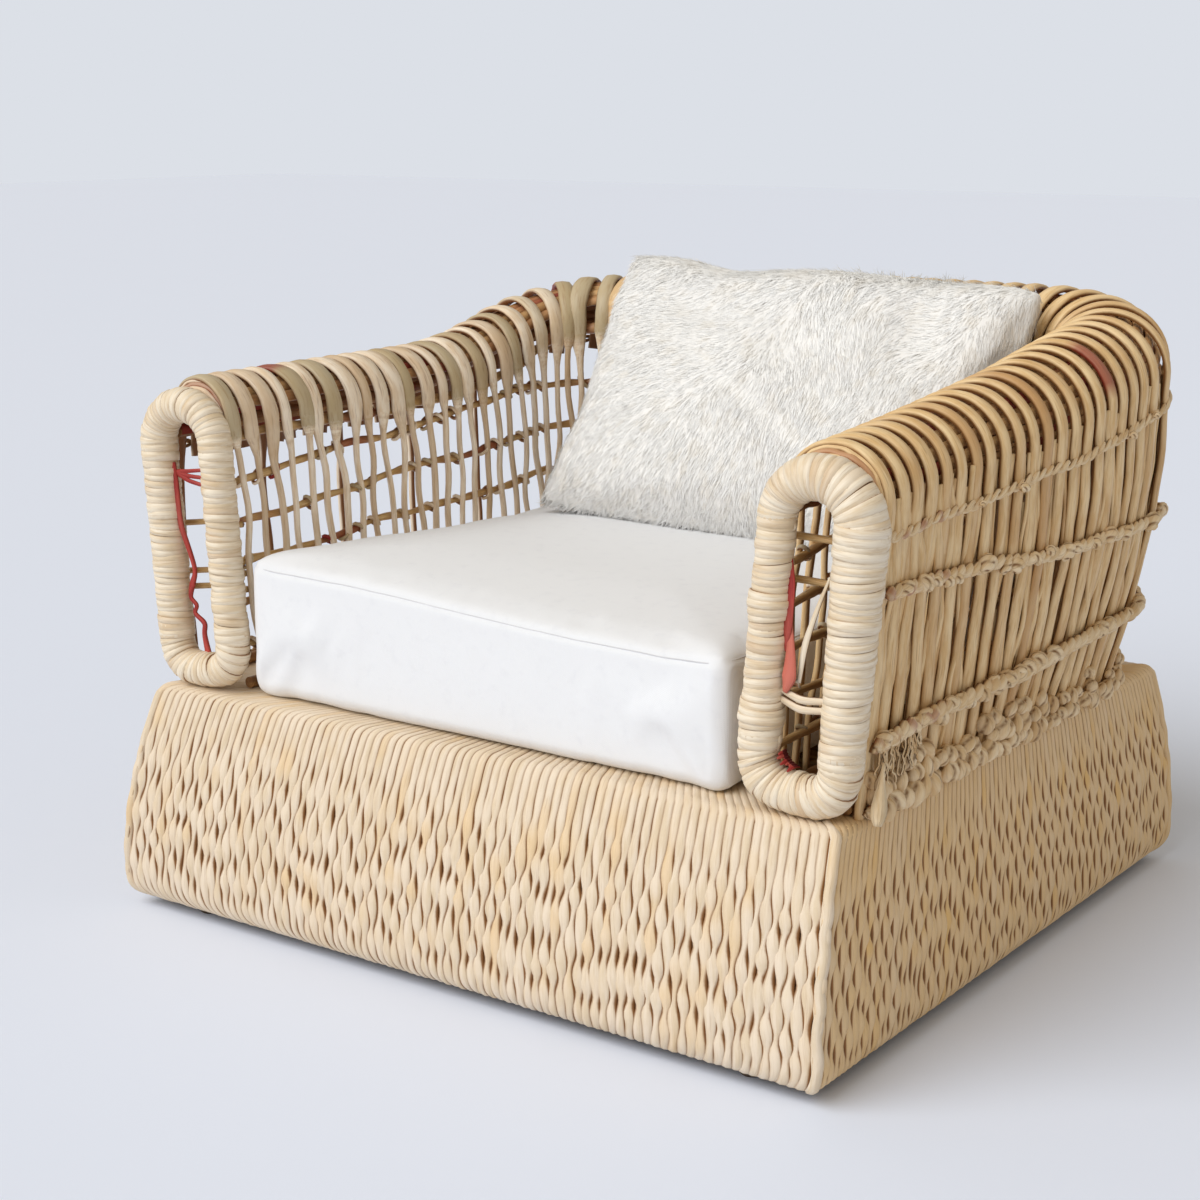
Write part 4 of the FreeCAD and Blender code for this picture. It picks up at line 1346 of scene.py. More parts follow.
@dataclass
class TwinedRows:
    """Twined rows round the outside, the knots along them and the balls at the waist."""

    plan: TubPlan
    tub: CaneTub
    strand: float = 0.0052
    offset: float = 0.0665
    waist: float = 0.290
    lower: Pair = (0.362, 0.394)
    upper: Pair = (0.522, 0.500)
    shoulder_drop: float = 0.030
    lump_step: float = 0.021
    ball_step: float = 0.0195
    loose_count: int = 34

    def lower_height(self, distance: Array) -> Array:
        """Heights of the lower row."""
        return self.tub.level(*self.lower, distance)

    def upper_height(self, distance: Array) -> Array:
        """Heights of the upper row."""
        return self.tub.level(*self.upper, distance)

    def shoulder_height(self, distance: Array) -> Array:
        """Heights of the row under the roll."""
        return self.plan.roll_height(distance) - self.shoulder_drop

    def row(self, name: str, end: float, height: Callable[[Array], Array], thin: float, rng: Draws) -> None:
        """One row of two strands that cross between the strips.

        Args:
            name: Name of the node it stands for.
            end: Distance round the tub at which it ends.
            height: Height at distances round the tub.
            thin: Below 1 for a thinner row that lies closer.
            rng: Source of the unevenness.
        """
        distance = np.linspace(-0.002, end + 0.002, 640)
        bundle = Bundle(6)
        _, out, _ = self.plan.directions(distance)
        beat = math.pi * distance / (self.tub.pitch * 0.55) + 0.5 * wander(rng, distance, 0.2)
        sag = 0.003 * wander(rng, distance, 0.35)
        for strand in (0, 1):
            phase = beat + strand * math.pi
            line = self.plan.outside(distance, height(distance) + sag + 0.0036 * np.sin(phase),
                                     self.offset - 0.012 * (1 - thin) + 0.0032 * thin * np.cos(phase))
            width = self.strand * thin * (1 + 0.2 * wander(rng, distance, 0.06) + 0.25 * np.cos(phase))
            stain = smoothstep(0.3, 0.8, wander(rng, distance, 0.035)) * smoothstep(0.16, 0.10, distance)
            # The last value is painted shade: each strand darkens where it dips behind the other and lightens
            # where it comes out.
            bundle.lay(line, out, width, width * 0.9, 0.3 + 0.3 * strand, rng.uniform(), 0.5 * stain, 1.0,
                       -0.2 * np.cos(phase))
        bundle.piece(f"{name}_row", TWINE, "rush_twine", [name])

    def knots(self) -> None:
        """Long knots along the rows and balls at the waist, thickest behind the right arm front."""
        rng = Seed.KNOTS.draws()
        lump = Blank.knot(3, 1.9, 0.22)
        ball = Blank.knot(3, 0.7, 0.20)
        bundle = Bundle(6)
        rows = ((self.lower_height, 0.0098, 0.85), (self.upper_height, 0.0088, 0.55),
                (self.shoulder_height, 0.0052, 0.12))
        for height, size, density in rows:
            for stop in np.arange(0.012, self.plan.back_end, self.lump_step):
                if rng.uniform() > density:
                    continue
                at = np.array([stop + rng.uniform(-0.006, 0.006)])
                level = height(at) + rng.uniform(-0.005, 0.005)
                middle = self.plan.outside(at, level, self.offset + 0.002)[0]
                self.stamp(bundle, lump, at, middle, size * rng.uniform(0.75, 1.25), rng.uniform(1.2, 1.9),
                           rng.uniform(-0.6, 0.6), rng)
        bundle.piece("row_knots", TWINE, "rush_twine")
        balls = Bundle(6)
        for stop in np.arange(0.006, self.plan.back_end, self.ball_step):
            crowd = 1 - smoothstep(0.30, 0.62, stop)
            for level, chance in enumerate((0.92, 0.35 + 0.40 * crowd, 0.05 + 0.30 * crowd)):
                if rng.uniform() > chance:
                    continue
                at = np.array([stop + (level % 2) * 0.009 + rng.uniform(-0.004, 0.004)])
                height = 0.2905 + level * 0.0175 + rng.uniform(-0.004, 0.004)
                middle = self.plan.outside(at, height, self.offset + 0.006 - 0.005 * level)[0]
                size = (0.0088 + 0.0030 * crowd) * rng.uniform(0.8, 1.2)
                self.stamp(balls, ball, at, middle, size, rng.uniform(1.0, 1.5), rng.uniform(0.6, 2.5), rng)
        balls.piece("waist_ball_knots", TWINE, "rush_twine")

    def stamp(self, bundle: Bundle, blank: Blank, at: Array, middle: Array, size: float,
              stretch: float, tilt: float, rng: Draws) -> None:
        """Sets one knot on the wall with its length along the row.

        Args:
            bundle: Where it goes.
            blank: The knot.
            at: Distance round the tub.
            middle: Its middle.
            size: Its radius.
            stretch: How much longer it is than thick.
            tilt: Its turn out of the row, in radians.
            rng: Source of its tint.
        """
        along, out, up = (Vector(d[0]) for d in self.plan.directions(at))
        turn = Matrix((out, up, along)).transposed().to_4x4()
        lean = Matrix.Rotation(tilt, 4, "X") @ Matrix.Rotation(rng.uniform(0, 6.28), 4, "Z")
        scale = Matrix.Diagonal((size, size, size * stretch, 1.0))
        bundle.put(blank, Matrix.Translation(Vector(middle)) @ turn @ lean @ scale, rng.uniform(0, 0.8),
                   rng.uniform())

    def tufts(self) -> None:
        """Loose ends under the lower row behind the right arm front, and a leaf at its foot."""
        rng = Seed.TUFTS.draws()
        bundle = Bundle(5)
        for _ in range(self.loose_count):
            at = np.full(12, rng.uniform(0.006, 0.085))
            fall = np.linspace(0, rng.uniform(0.02, 0.05), 12)
            height = self.lower_height(at) - fall
            along, out, _ = self.plan.directions(at)
            line = self.plan.outside(at, height, 0.070 + 0.10 * fall + rng.uniform(-0.002, 0.003))
            curl = 0.0035 * wander(rng, fall, 0.02) * smoothstep(0.0, 0.015, fall)
            stray = rng.normal(0, 0.22) * fall + rng.normal(0, 2.5) * fall ** 2 + curl
            line = line + along * stray[:, None]
            bundle.lay(line, out, 0.0014, 0.0011, rng.uniform(0.2, 1), rng.uniform())
        at = np.full(12, 0.004)
        height = np.linspace(0.345, 0.284, 12)
        along, out, _ = self.plan.directions(at)
        line = self.plan.outside(at, height, np.linspace(0.070, 0.079, 12))
        line = line + out * 0.006 - along * (0.018 * np.linspace(0, 1, 12))[:, None]
        width = 0.0014 + 0.0078 * np.sin(2.75 * np.linspace(0.1, 1, 12) ** 2.2)
        # The last value lightens the leaf's painted flank shade.
        bundle.lay(line, unit(out - 1.2 * along), width, 0.0022, 0.1, 0.5, 0.0, 1.0, -0.3)
        bundle.piece("loose_ends", TWINE, "rush_twine")

    def build(self) -> None:
        """Builds the rows and knots."""
        rng = Seed.ROWS.draws()
        whole, back = self.plan.length, self.plan.back_end
        self.row("waist_twine", whole, lambda d: np.full(len(d), self.waist), 0.9, rng)
        self.row("lower_twine", back, self.lower_height, 1.1, rng)
        self.row("upper_twine", back, self.upper_height, 0.85, rng)
        self.row("shoulder_twine", whole, self.shoulder_height, 0.55, rng)
        self.knots()
        self.tufts()


@dataclass(frozen=True)
class Tie:
    """A strand in a loop's slot: its places out of and behind the loop's middle and their heights."""

    places: Sequence[Triple]
    widths: Sequence[float]
    depth: float
    tint: float


DYED_TIES = {
    Side.RIGHT: (
        Tie(((-0.031, 0.004, 0.545), (-0.025, -0.002, 0.520), (-0.024, -0.004, 0.480),
             (-0.025, -0.001, 0.450)), (0.002, 0.0055, 0.0060, 0.0020), 0.0016, 0.1),
        Tie(((-0.024, 0.001, 0.484), (-0.018, -0.004, 0.450), (-0.015, -0.008, 0.425),
             (-0.021, -0.004, 0.408)), (0.0020, 0.0060, 0.0095, 0.0030), 0.0014, 0.9),
    ),
    Side.LEFT: (
        *(Tie(((0.026, 0.002, 0.550), (0.004, 0.001, 0.550 + 0.5 * rise), (-0.034, 0.006, 0.551 + rise)),
              (0.0036, 0.0028, 0.0024), 0.0022, 0.1) for rise in (0.003, -0.009, -0.021)),
        Tie(((0.028, 0.001, 0.562), (0.0250, -0.001, 0.535), (0.0245, -0.001, 0.486), (0.016, 0.003, 0.452),
             (0.009, 0.004, 0.426), (0.016, 0.002, 0.409), (0.022, 0.002, 0.392), (0.010, 0.003, 0.383),
             (0.018, 0.002, 0.373), (0.000, 0.004, 0.361), (0.005, 0.004, 0.348), (-0.001, 0.003, 0.322)),
            (0.0030, 0.0048, 0.0044, 0.0034, 0.0030, 0.0046, 0.0026, 0.0026, 0.0026, 0.0034, 0.0034, 0.0050),
            0.0030, 0.1),
    ),
}
PALE_TIES = (
    Tie(((0.012, 0.010, 0.532), (0.004, 0.004, 0.500), (-0.006, 0.002, 0.460), (-0.008, 0.000, 0.420)),
        (0.0016, 0.0026, 0.0042, 0.0030), 0.0016, 0.2),
    *(Tie(((-0.034, 0.004, 0.409 - drop), (0.0, -0.006, 0.404 - drop), (0.034, 0.004, 0.408 - drop)),
          (0.0036, 0.0046, 0.0036), 0.0030, 0.5) for drop in (0.0, 0.010)),
)
STICKS = {Side.RIGHT: (0.515, 0.560), Side.LEFT: (0.400, 0.420, 0.481)}


@dataclass
class ArmLoop:
    """Hairpin arm front, its legs, crown and foot bound with pale cane of uneven widths."""

    side: Side
    plan: TubPlan
    axis_y: float = -0.3885
    bend: float = 0.0485
    low: float = 0.3522
    high: float = 0.5850
    cane_depth: float = 0.0027
    square_foot: float = 3.4
    leg_turns: int = 29
    bend_turns: int = 21
    steps: int = 18
    overlap: float = 0.64
    dyed_turns: int = 7
    dyed_orbit: float = 0.0256

    def __post_init__(self) -> None:
        """Works out the loop's own directions and starts its random draws."""
        lean = self.plan.lean
        self.out = np.array([self.side.sign * math.cos(lean), 0.0, -math.sin(lean)])
        self.up = np.array([self.side.sign * math.sin(lean), 0.0, math.cos(lean)])
        self.back = np.array([0.0, 1.0, 0.0])
        self.rng = (Seed.RIGHT_LOOP if self.side is Side.RIGHT else Seed.LEFT_LOOP).draws()

    def middle(self, height: float) -> Array:
        """Middle of the loop at a height."""
        x = self.plan.half_width + (height - self.plan.waist) * math.tan(self.plan.lean)
        return np.array([self.side.sign * x, self.axis_y, height])

    def shares(self, turns: int) -> tuple[Array, Array]:
        """Place of each step of a winding whose turns have uneven widths.

        Args:
            turns: Number of turns.

        Returns:
            Shares of the length from 0 to 1, and the width of the turn there as a share.
        """
        widths = self.rng.uniform(0.7, 1.35, turns + 1)
        ends = np.concatenate([[0], np.cumsum(widths)])
        place = np.linspace(0, turns, turns * self.steps + 1)
        shares = np.interp(place, np.arange(turns + 2), ends) / ends[turns]
        local = np.interp(place, np.arange(turns + 1), widths) / ends[turns]
        return shares, local

    def leg(self, place: str, offset: float, radius: Pair, collars: Sequence[float]) -> None:
        """Winding of one leg.

        Args:
            place: Name of the leg.
            offset: Distance out of the loop's middle.
            radius: Outer radius at the foot and at the top.
            collars: Shares of the height at which the winding is doubled to a collar.
        """
        low = self.middle(self.low) + self.out * offset
        high = self.middle(self.high) + self.out * offset
        length = np.linalg.norm(high - low)
        share, local = self.shares(self.leg_turns)
        angle = 2 * math.pi * np.linspace(0, self.leg_turns, len(share))
        radial = self.out * np.cos(angle)[:, None] + self.back * np.sin(angle)[:, None]
        lump = 0.0008 * wander(self.rng, share * length, 0.035)
        lump = lump + 0.0005 * wander(self.rng, share * length, 0.011)
        for collar in collars:
            lump = lump + 0.0032 * np.exp(-((share - collar) / 0.055) ** 2)
        orbit = radius[0] + (radius[1] - radius[0]) * share - self.cane_depth + lump
        line = low + (high - low) * share[:, None] + radial * orbit[:, None]
        line = line + self.up * (0.0012 * np.sin(angle + 1.0 + 0.13 * angle))[:, None]
        self.bind(place, line, radial, local * length * self.overlap, 0.25 + 0.2 * (offset < 0))

    def curve(self, place: str, height: float, first: float, radius: Pair) -> None:
        """Winding of the crown or the foot, whose turns fan out.

        Args:
            place: Name of the bend.
            height: Height of the bend's middle.
            first: Angle at which it starts.
            radius: Outer radius at its start and end.
        """
        share, local = self.shares(self.bend_turns)
        sweep = first + math.pi * share
        angle = 2 * math.pi * np.linspace(0, self.bend_turns, len(share))
        outward = self.out * np.cos(sweep)[:, None] + self.up * np.sin(sweep)[:, None]
        power = self.square_foot if place == "foot" else 2.0
        stretch = (np.abs(np.cos(sweep)) ** power + np.abs(np.sin(sweep)) ** power) ** (-1 / power)
        radial = outward * np.cos(angle)[:, None] + self.back * np.sin(angle)[:, None]
        orbit = radius[0] + (radius[1] - radius[0]) * share - self.cane_depth
        orbit = orbit + 0.0007 * wander(self.rng, share * 0.15, 0.02)
        line = self.middle(height) + outward * (self.bend * stretch)[:, None] + radial * orbit[:, None]
        spread = (self.bend * stretch + orbit * np.cos(angle)) * math.pi * local * self.overlap
        self.bind(place, line, radial, np.maximum(spread, 0.0016), 0.3)

    def bind(self, place: str, line: Array, radial: Array, width: Array, tint: float) -> None:
        """Lays one winding in the place of its binding.

        Args:
            place: Name of the leg or bend.
            line: Middle of the cane.
            radial: Direction that its face looks in.
            width: Its half width.
            tint: Its tone.
        """
        bundle = Bundle(8)
        bundle.lay(line, radial, width, self.cane_depth, tint, self.rng.uniform(), 0.0, 0.60)
        bundle.piece(f"{self.side.value}_{place}_wrap", BINDING, "pale_cane_binding",
                     [f"{self.side.value}_{place}_binding"])

    def collars(self, rings: Sequence[Triple]) -> None:
        """Closing turns where the windings of the legs and bends meet.

        Args:
            rings: Distance out of the loop's middle, height and outer radius of each.
        """
        bundle = Bundle(8)
        angle = np.linspace(0, 2 * math.pi + 0.3, 26)
        radial = self.out * np.cos(angle)[:, None] + self.back * np.sin(angle)[:, None]
        for index, (offset, height, radius) in enumerate(rings):
            for step in (-0.5, 0.5):
                orbit = radius - self.cane_depth + 0.0004
                line = self.middle(height) + self.out * offset + self.up * (step * 0.0085) + radial * orbit
                line = line + self.up * (0.0016 * np.linspace(-1, 1, 26))[:, None]
                bundle.lay(line, radial, 0.0056, self.cane_depth, 0.2 + 0.1 * index, 0.5 + step, 0.0, 0.60)
        bundle.piece(f"{self.side.value}_loop_collars", BINDING, "pale_cane_binding")

    def ribbon(self, tie: Tie, bundle: Bundle) -> None:
        """Lays a tie through its places in the slot.

        Args:
            tie: The tie.
            bundle: Where it is laid.
        """
        places = np.array([self.middle(p[2]) + self.out * p[0] + self.back * p[1] for p in tie.places])
        stops = np.linspace(0, 1, len(places))
        fine = np.linspace(0, 1, max(24, 6 * len(places)))
        line = look_up(fine, stops, places)
        for _ in range(6):
            line[1:-1] = (line[:-2] + line[1:-1] * 2 + line[2:]) / 4
        bundle.lay(line, -self.back, np.interp(fine, stops, tie.widths), tie.depth, tie.tint, 0.4)

    def dyed_foot(self, bundle: Bundle) -> None:
        """Short dyed turns over the foot's winding, at the inner end of the slot.

        Args:
            bundle: Where they are laid.
        """
        for turn in range(self.dyed_turns):
            lean = -1.10 + 0.14 * turn
            places = []
            for share in np.linspace(-0.6, 0.25 + 0.2 * math.sin(2.4 * turn), 6):
                radius = self.bend - self.dyed_orbit * math.cos(share)
                places.append((radius * math.sin(lean), -self.dyed_orbit * math.sin(share),
                               self.low - radius * math.cos(lean)))
            widths = (0.0008, 0.0022, 0.0024, 0.0024, 0.0022, 0.0010)
            self.ribbon(Tie(places, widths, 0.0012, 0.1 + 0.2 * (turn % 3)), bundle)

    def ties(self) -> None:
        """Dyed ties in the slot, the right slot's pale strands and the brown cross sticks behind both."""
        name = self.side.value
        dyed = Bundle(6)
        for tie in DYED_TIES[self.side]:
            self.ribbon(tie, dyed)
        if self.side is Side.RIGHT:
            self.dyed_foot(dyed)
        dyed.piece(f"{name}_slot_ties", DYED, "rush_twine")
        if self.side is Side.RIGHT:
            pale = Bundle(6)
            for tie in PALE_TIES:
                self.ribbon(tie, pale)
            pale.piece(f"{name}_slot_strands", BINDING, "pale_cane_binding")
        sticks = Bundle(6)
        for height in STICKS[self.side]:
            places = ((0.052, 0.030, height), (0.0, 0.032, height + 0.004), (-0.052, 0.030, height + 0.002))
            self.ribbon(Tie(places, (0.0042, 0.0038, 0.0042), 0.0042, 0.5), sticks)
        sticks.piece(f"{name}_slot_sticks", BROWN_RATTAN, "brown_rattan")

    def build(self) -> None:
        """Builds the four windings, the collars where they meet and the ties."""
        right = self.side is Side.RIGHT
        outer = (0.0240, 0.0285) if right else (0.0225, 0.0230)
        inner = (0.0225, 0.0205) if right else (0.0215, 0.0210)
        self.leg("outer_leg", self.bend, outer, ())
        self.leg("inner_leg", -self.bend, inner, (0.10, 0.62) if right else ())
        self.curve("crown", self.high, 0.0, (outer[1], inner[1]))
        self.curve("foot", self.low, math.pi, (inner[0], outer[0]))
        self.collars([(self.bend, self.low, outer[0]), (-self.bend, self.low, inner[0]),
                      (self.bend, self.high, outer[1]), (-self.bend, self.high, inner[1])])
        self.ties()


@dataclass
class PadMaker:
    """Swells a blank into a stuffed pad with a short cloth simulation."""

    voxel: float
    pressure: float
    cap: float
    frames: ClassVar[int] = 20
    cloth: ClassVar[dict] = {"quality": 4, "mass": 0.3, "tension_stiffness": 12, "compression_stiffness": 12,
                             "shear_stiffness": 6, "bending_stiffness": 1.2, "use_pressure": True,
                             "shrink_min": -0.012}

    def swell(self, piece: Piece) -> Array:
        """Remeshes a blank, inflates it and keeps the movement within bounds.

        Args:
            piece: The blank, changed in place.

        Returns:
            Each point's place before it moved.
        """
        activate(piece)
        remesh = piece.modifiers.new("remesh", "REMESH")
        remesh.mode = "VOXEL"
        remesh.voxel_size = self.voxel
        bpy.ops.object.modifier_apply(modifier="remesh")
        start = read(piece.data.vertices, "co", 3)
        cloth = piece.modifiers.new("cloth", "CLOTH")
        for key, value in self.cloth.items():
            setattr(cloth.settings, key, value)
        cloth.settings.uniform_pressure_force = self.pressure
        cloth.settings.effector_weights.gravity = 0
        cloth.collision_settings.use_collision = False
        cloth.point_cache.frame_start = 1
        cloth.point_cache.frame_end = self.frames
        scene = bpy.context.scene
        for number in range(1, self.frames + 1):
            scene.frame_set(number)
        bpy.ops.object.modifier_apply(modifier="cloth")
        scene.frame_set(1)
        move = read(piece.data.vertices, "co", 3) - start
        size = np.linalg.norm(move, axis=1, keepdims=True)
        move = move * np.minimum(1.0, self.cap * np.tanh(size / self.cap) / np.maximum(size, 1e-9))
        move_points(piece.data, start + move)
        piece.data.update()
        return start

    @staticmethod
    def refine(piece: Piece) -> None:
        """Applies one subdivision and smooth shading.

        Args:
            piece: The pad.
        """
        activate(piece)
        piece.modifiers.new("fine", "SUBSURF").levels = 1
        bpy.ops.object.modifier_apply(modifier="fine")
        bpy.ops.object.shade_smooth()


@dataclass
class SeatCushion:
    """White box cushion with a seam round its top and a zip at its back."""

    half_width: float = 0.3500
    shift: float = -0.0085
    front: float = -0.3910
    rear: float = 0.2655
    foot: float = 0.2812
    height: float = 0.1500
    front_corner: float = 0.016
    rear_corner: float = 0.066
    edge: float = 0.012
    seam_drop: float = 0.009
    crown: float = 0.012
    lifted: float = 0.021

    def blank(self) -> Piece:
        """Box of the cushion's size with rounded corners and edges.

        Returns:
            The blank.
        """
        clear_selection()
        middle = (self.shift, (self.front + self.rear) / 2, self.foot + self.height / 2)
        bpy.ops.mesh.primitive_cube_add(size=1.0, location=middle)
        box = bpy.context.object
        box.name = "seat_cushion_pad"
        box.scale = (2 * self.half_width, self.rear - self.front, self.height)
        bpy.ops.object.transform_apply(location=True, rotation=False, scale=True)
        with editing():
            for y, radius in ((self.front, self.front_corner), (self.rear, self.rear_corner)):
                self.pick_edges(box, lambda a, b, y=y: abs(a.z - b.z) > 0.1 and abs(a.y - y) < 1e-4)
                bpy.ops.mesh.bevel(offset=radius, segments=8, affect="EDGES")
            for z in (self.foot, self.foot + self.height):
                self.pick_edges(box, lambda a, b, z=z: abs(a.z - z) < 1e-4 and abs(b.z - z) < 1e-4)
                bpy.ops.mesh.bevel(offset=self.edge, segments=4, affect="EDGES")
        return box

    @staticmethod
    def pick_edges(piece: Piece, test: Callable[[Vector, Vector], bool]) -> None:
        """Selects the edges of a piece in edit mode by their ends.

        Args:
            piece: The piece.
            test: True for the two ends of an edge that is wanted.
        """
        bpy.ops.mesh.select_mode(type="EDGE")
        bpy.ops.mesh.select_all(action="DESELECT")
        bpy.ops.object.mode_set(mode="OBJECT")
        points = piece.data.vertices
        for edge in piece.data.edges:
            edge.select = test(points[edge.vertices[0]].co, points[edge.vertices[1]].co)
        bpy.ops.object.mode_set(mode="EDIT")

    def seam_line(self, points: Array, start: Array) -> Array:
        """Line of the top seam round the swollen cushion.

        Args:
            points: Points of the cushion.
            start: Their places before it was swollen.

        Returns:
            Points round the seam, in order.
        """
        level = self.foot + self.height - self.seam_drop
        close = np.abs(start[:, 2] - level) < 0.007
        ring = points[close]
        middle = ring.mean(0)
        angle = np.arctan2((ring[:, 1] - middle[1]) / 0.32, (ring[:, 0] - middle[0]) / 0.345)
        stops = np.linspace(-math.pi, math.pi, 241)[:-1]
        line = []
        for stop in stops:
            gap = np.abs((angle - stop + math.pi) % (2 * math.pi) - math.pi)
            weight = np.exp(-(gap / 0.02) ** 2) + 1e-9
            line.append((ring * weight[:, None]).sum(0) / weight.sum())
        return np.array(line)

    def sew(self, piece: Piece, line: Array) -> None:
        """Draws the cloth in along the seam.

        Args:
            piece: The cushion.
            line: The seam.
        """
        tree = kdtree.KDTree(len(line))
        for index, point in enumerate(line):
            tree.insert(point, index)
        tree.balance()
        for vertex, normal in zip(piece.data.vertices, read(piece.data.vertices, "normal", 3)):
            _, index, gap = tree.find(vertex.co)
            if gap < 0.02:
                across = min(abs(vertex.co.z - line[index][2]), gap)
                vertex.co -= Vector(normal) * (0.0013 * math.exp(-(across / 0.0028) ** 2))

    def puckers(self, piece: Piece) -> None:
        """Adds the slack folds at the lower front corners and the faint drag lines of the front.

        Args:
            piece: The cushion.
        """
        for vertex in piece.data.vertices:
            x, y, z = vertex.co
            if y > self.front + 0.06:
                continue
            rise = (z - self.foot) / self.height
            corner = math.exp(-((abs(x - self.shift) - self.half_width + 0.035) / 0.05) ** 2)
            fold = math.sin((abs(x) * 0.8 + z * 0.55) * 150) * math.exp(-(rise - 0.22) ** 2 / 0.06)
            drag = 0.3 * noise.noise(Vector((x * 9, 0.0, z * 16)))
            vertex.co.y += 0.0021 * corner * fold + 0.0016 * drag * (1 - rise)

    def build(self) -> None:
        """Builds the cushion, its seam thread and its zip."""
        pad = self.blank()
        start = PadMaker(voxel=0.0085, pressure=3.6, cap=0.008).swell(pad)
        points = read(pad.data.vertices, "co", 3)
        inner = np.clip(1 - np.maximum(np.abs(start[:, 0] - self.shift) / self.half_width,
                                       np.abs(start[:, 1] + 0.068) / 0.3215), 0, 1)
        top = start[:, 2] > self.foot + self.height - 0.004
        points[:, 2] += np.where(top, self.crown * smoothstep(0, 0.6, inner), 0)
        plump = self.lifted * smoothstep(0.20, -0.30, start[:, 0]) * smoothstep(0.12, -0.36, start[:, 1])
        points[:, 2] += plump * np.clip((start[:, 2] - self.foot) / self.height, 0, 1)
        under = start[:, 2] < self.foot + 0.02
        points[:, 2] = np.where(under, np.maximum(points[:, 2], self.foot - 0.0006), points[:, 2])
        move_points(pad.data, points)
        line = self.seam_line(points, start)
        PadMaker.refine(pad)
        self.puckers(pad)
        self.sew(pad, line)
        pad.data.materials.append(material_of(COTTON))
        settle(pad, Body.SEAT, ["seat_cushion_cover", "seat_cushion_foam"])
        closed = np.concatenate([line, line[:2]])
        flat = unit(closed - line.mean(0) * (1, 1, 0) - closed * (0, 0, 1))
        thread = Bundle(5)
        thread.lay(closed - flat * 0.0014, flat, 0.0009, 0.0009, 0.2, 0.4)
        thread.piece("seat_cushion_seam", SEAM, "white_cotton", body=Body.SEAT)
        self.zip(points)

    def zip(self, points: Array) -> None:
        """Zip tape across the back.

        Args:
            points: Points of the swollen cushion.
        """
        level = self.foot + self.height / 2
        back = points[(np.abs(points[:, 0]) < 0.15) & (np.abs(points[:, 2] - level) < 0.02)][:, 1].max()
        clear_selection()
        bpy.ops.mesh.primitive_grid_add(x_subdivisions=60, y_subdivisions=3, size=1.0)
        tape = bpy.context.object
        tape.name = "seat_cushion_zip_tape"
        with editing():
            bpy.ops.transform.resize(value=(0.30, 0.012, 1.0))
            bpy.ops.transform.rotate(value=-math.pi / 2, orient_axis="X", center_override=(0.0, 0.0, 0.0))
            bpy.ops.transform.translate(value=(0.0, back + 0.0006, level))
            bpy.ops.mesh.extrude_region_move(TRANSFORM_OT_translate={"value": (0.0, 0.0012, 0.0)})
            face_outwards()
        tape.data.materials.append(material_of(ZIP_TAPE))
        settle(tape, Body.SEAT, ["seat_cushion_zip"])


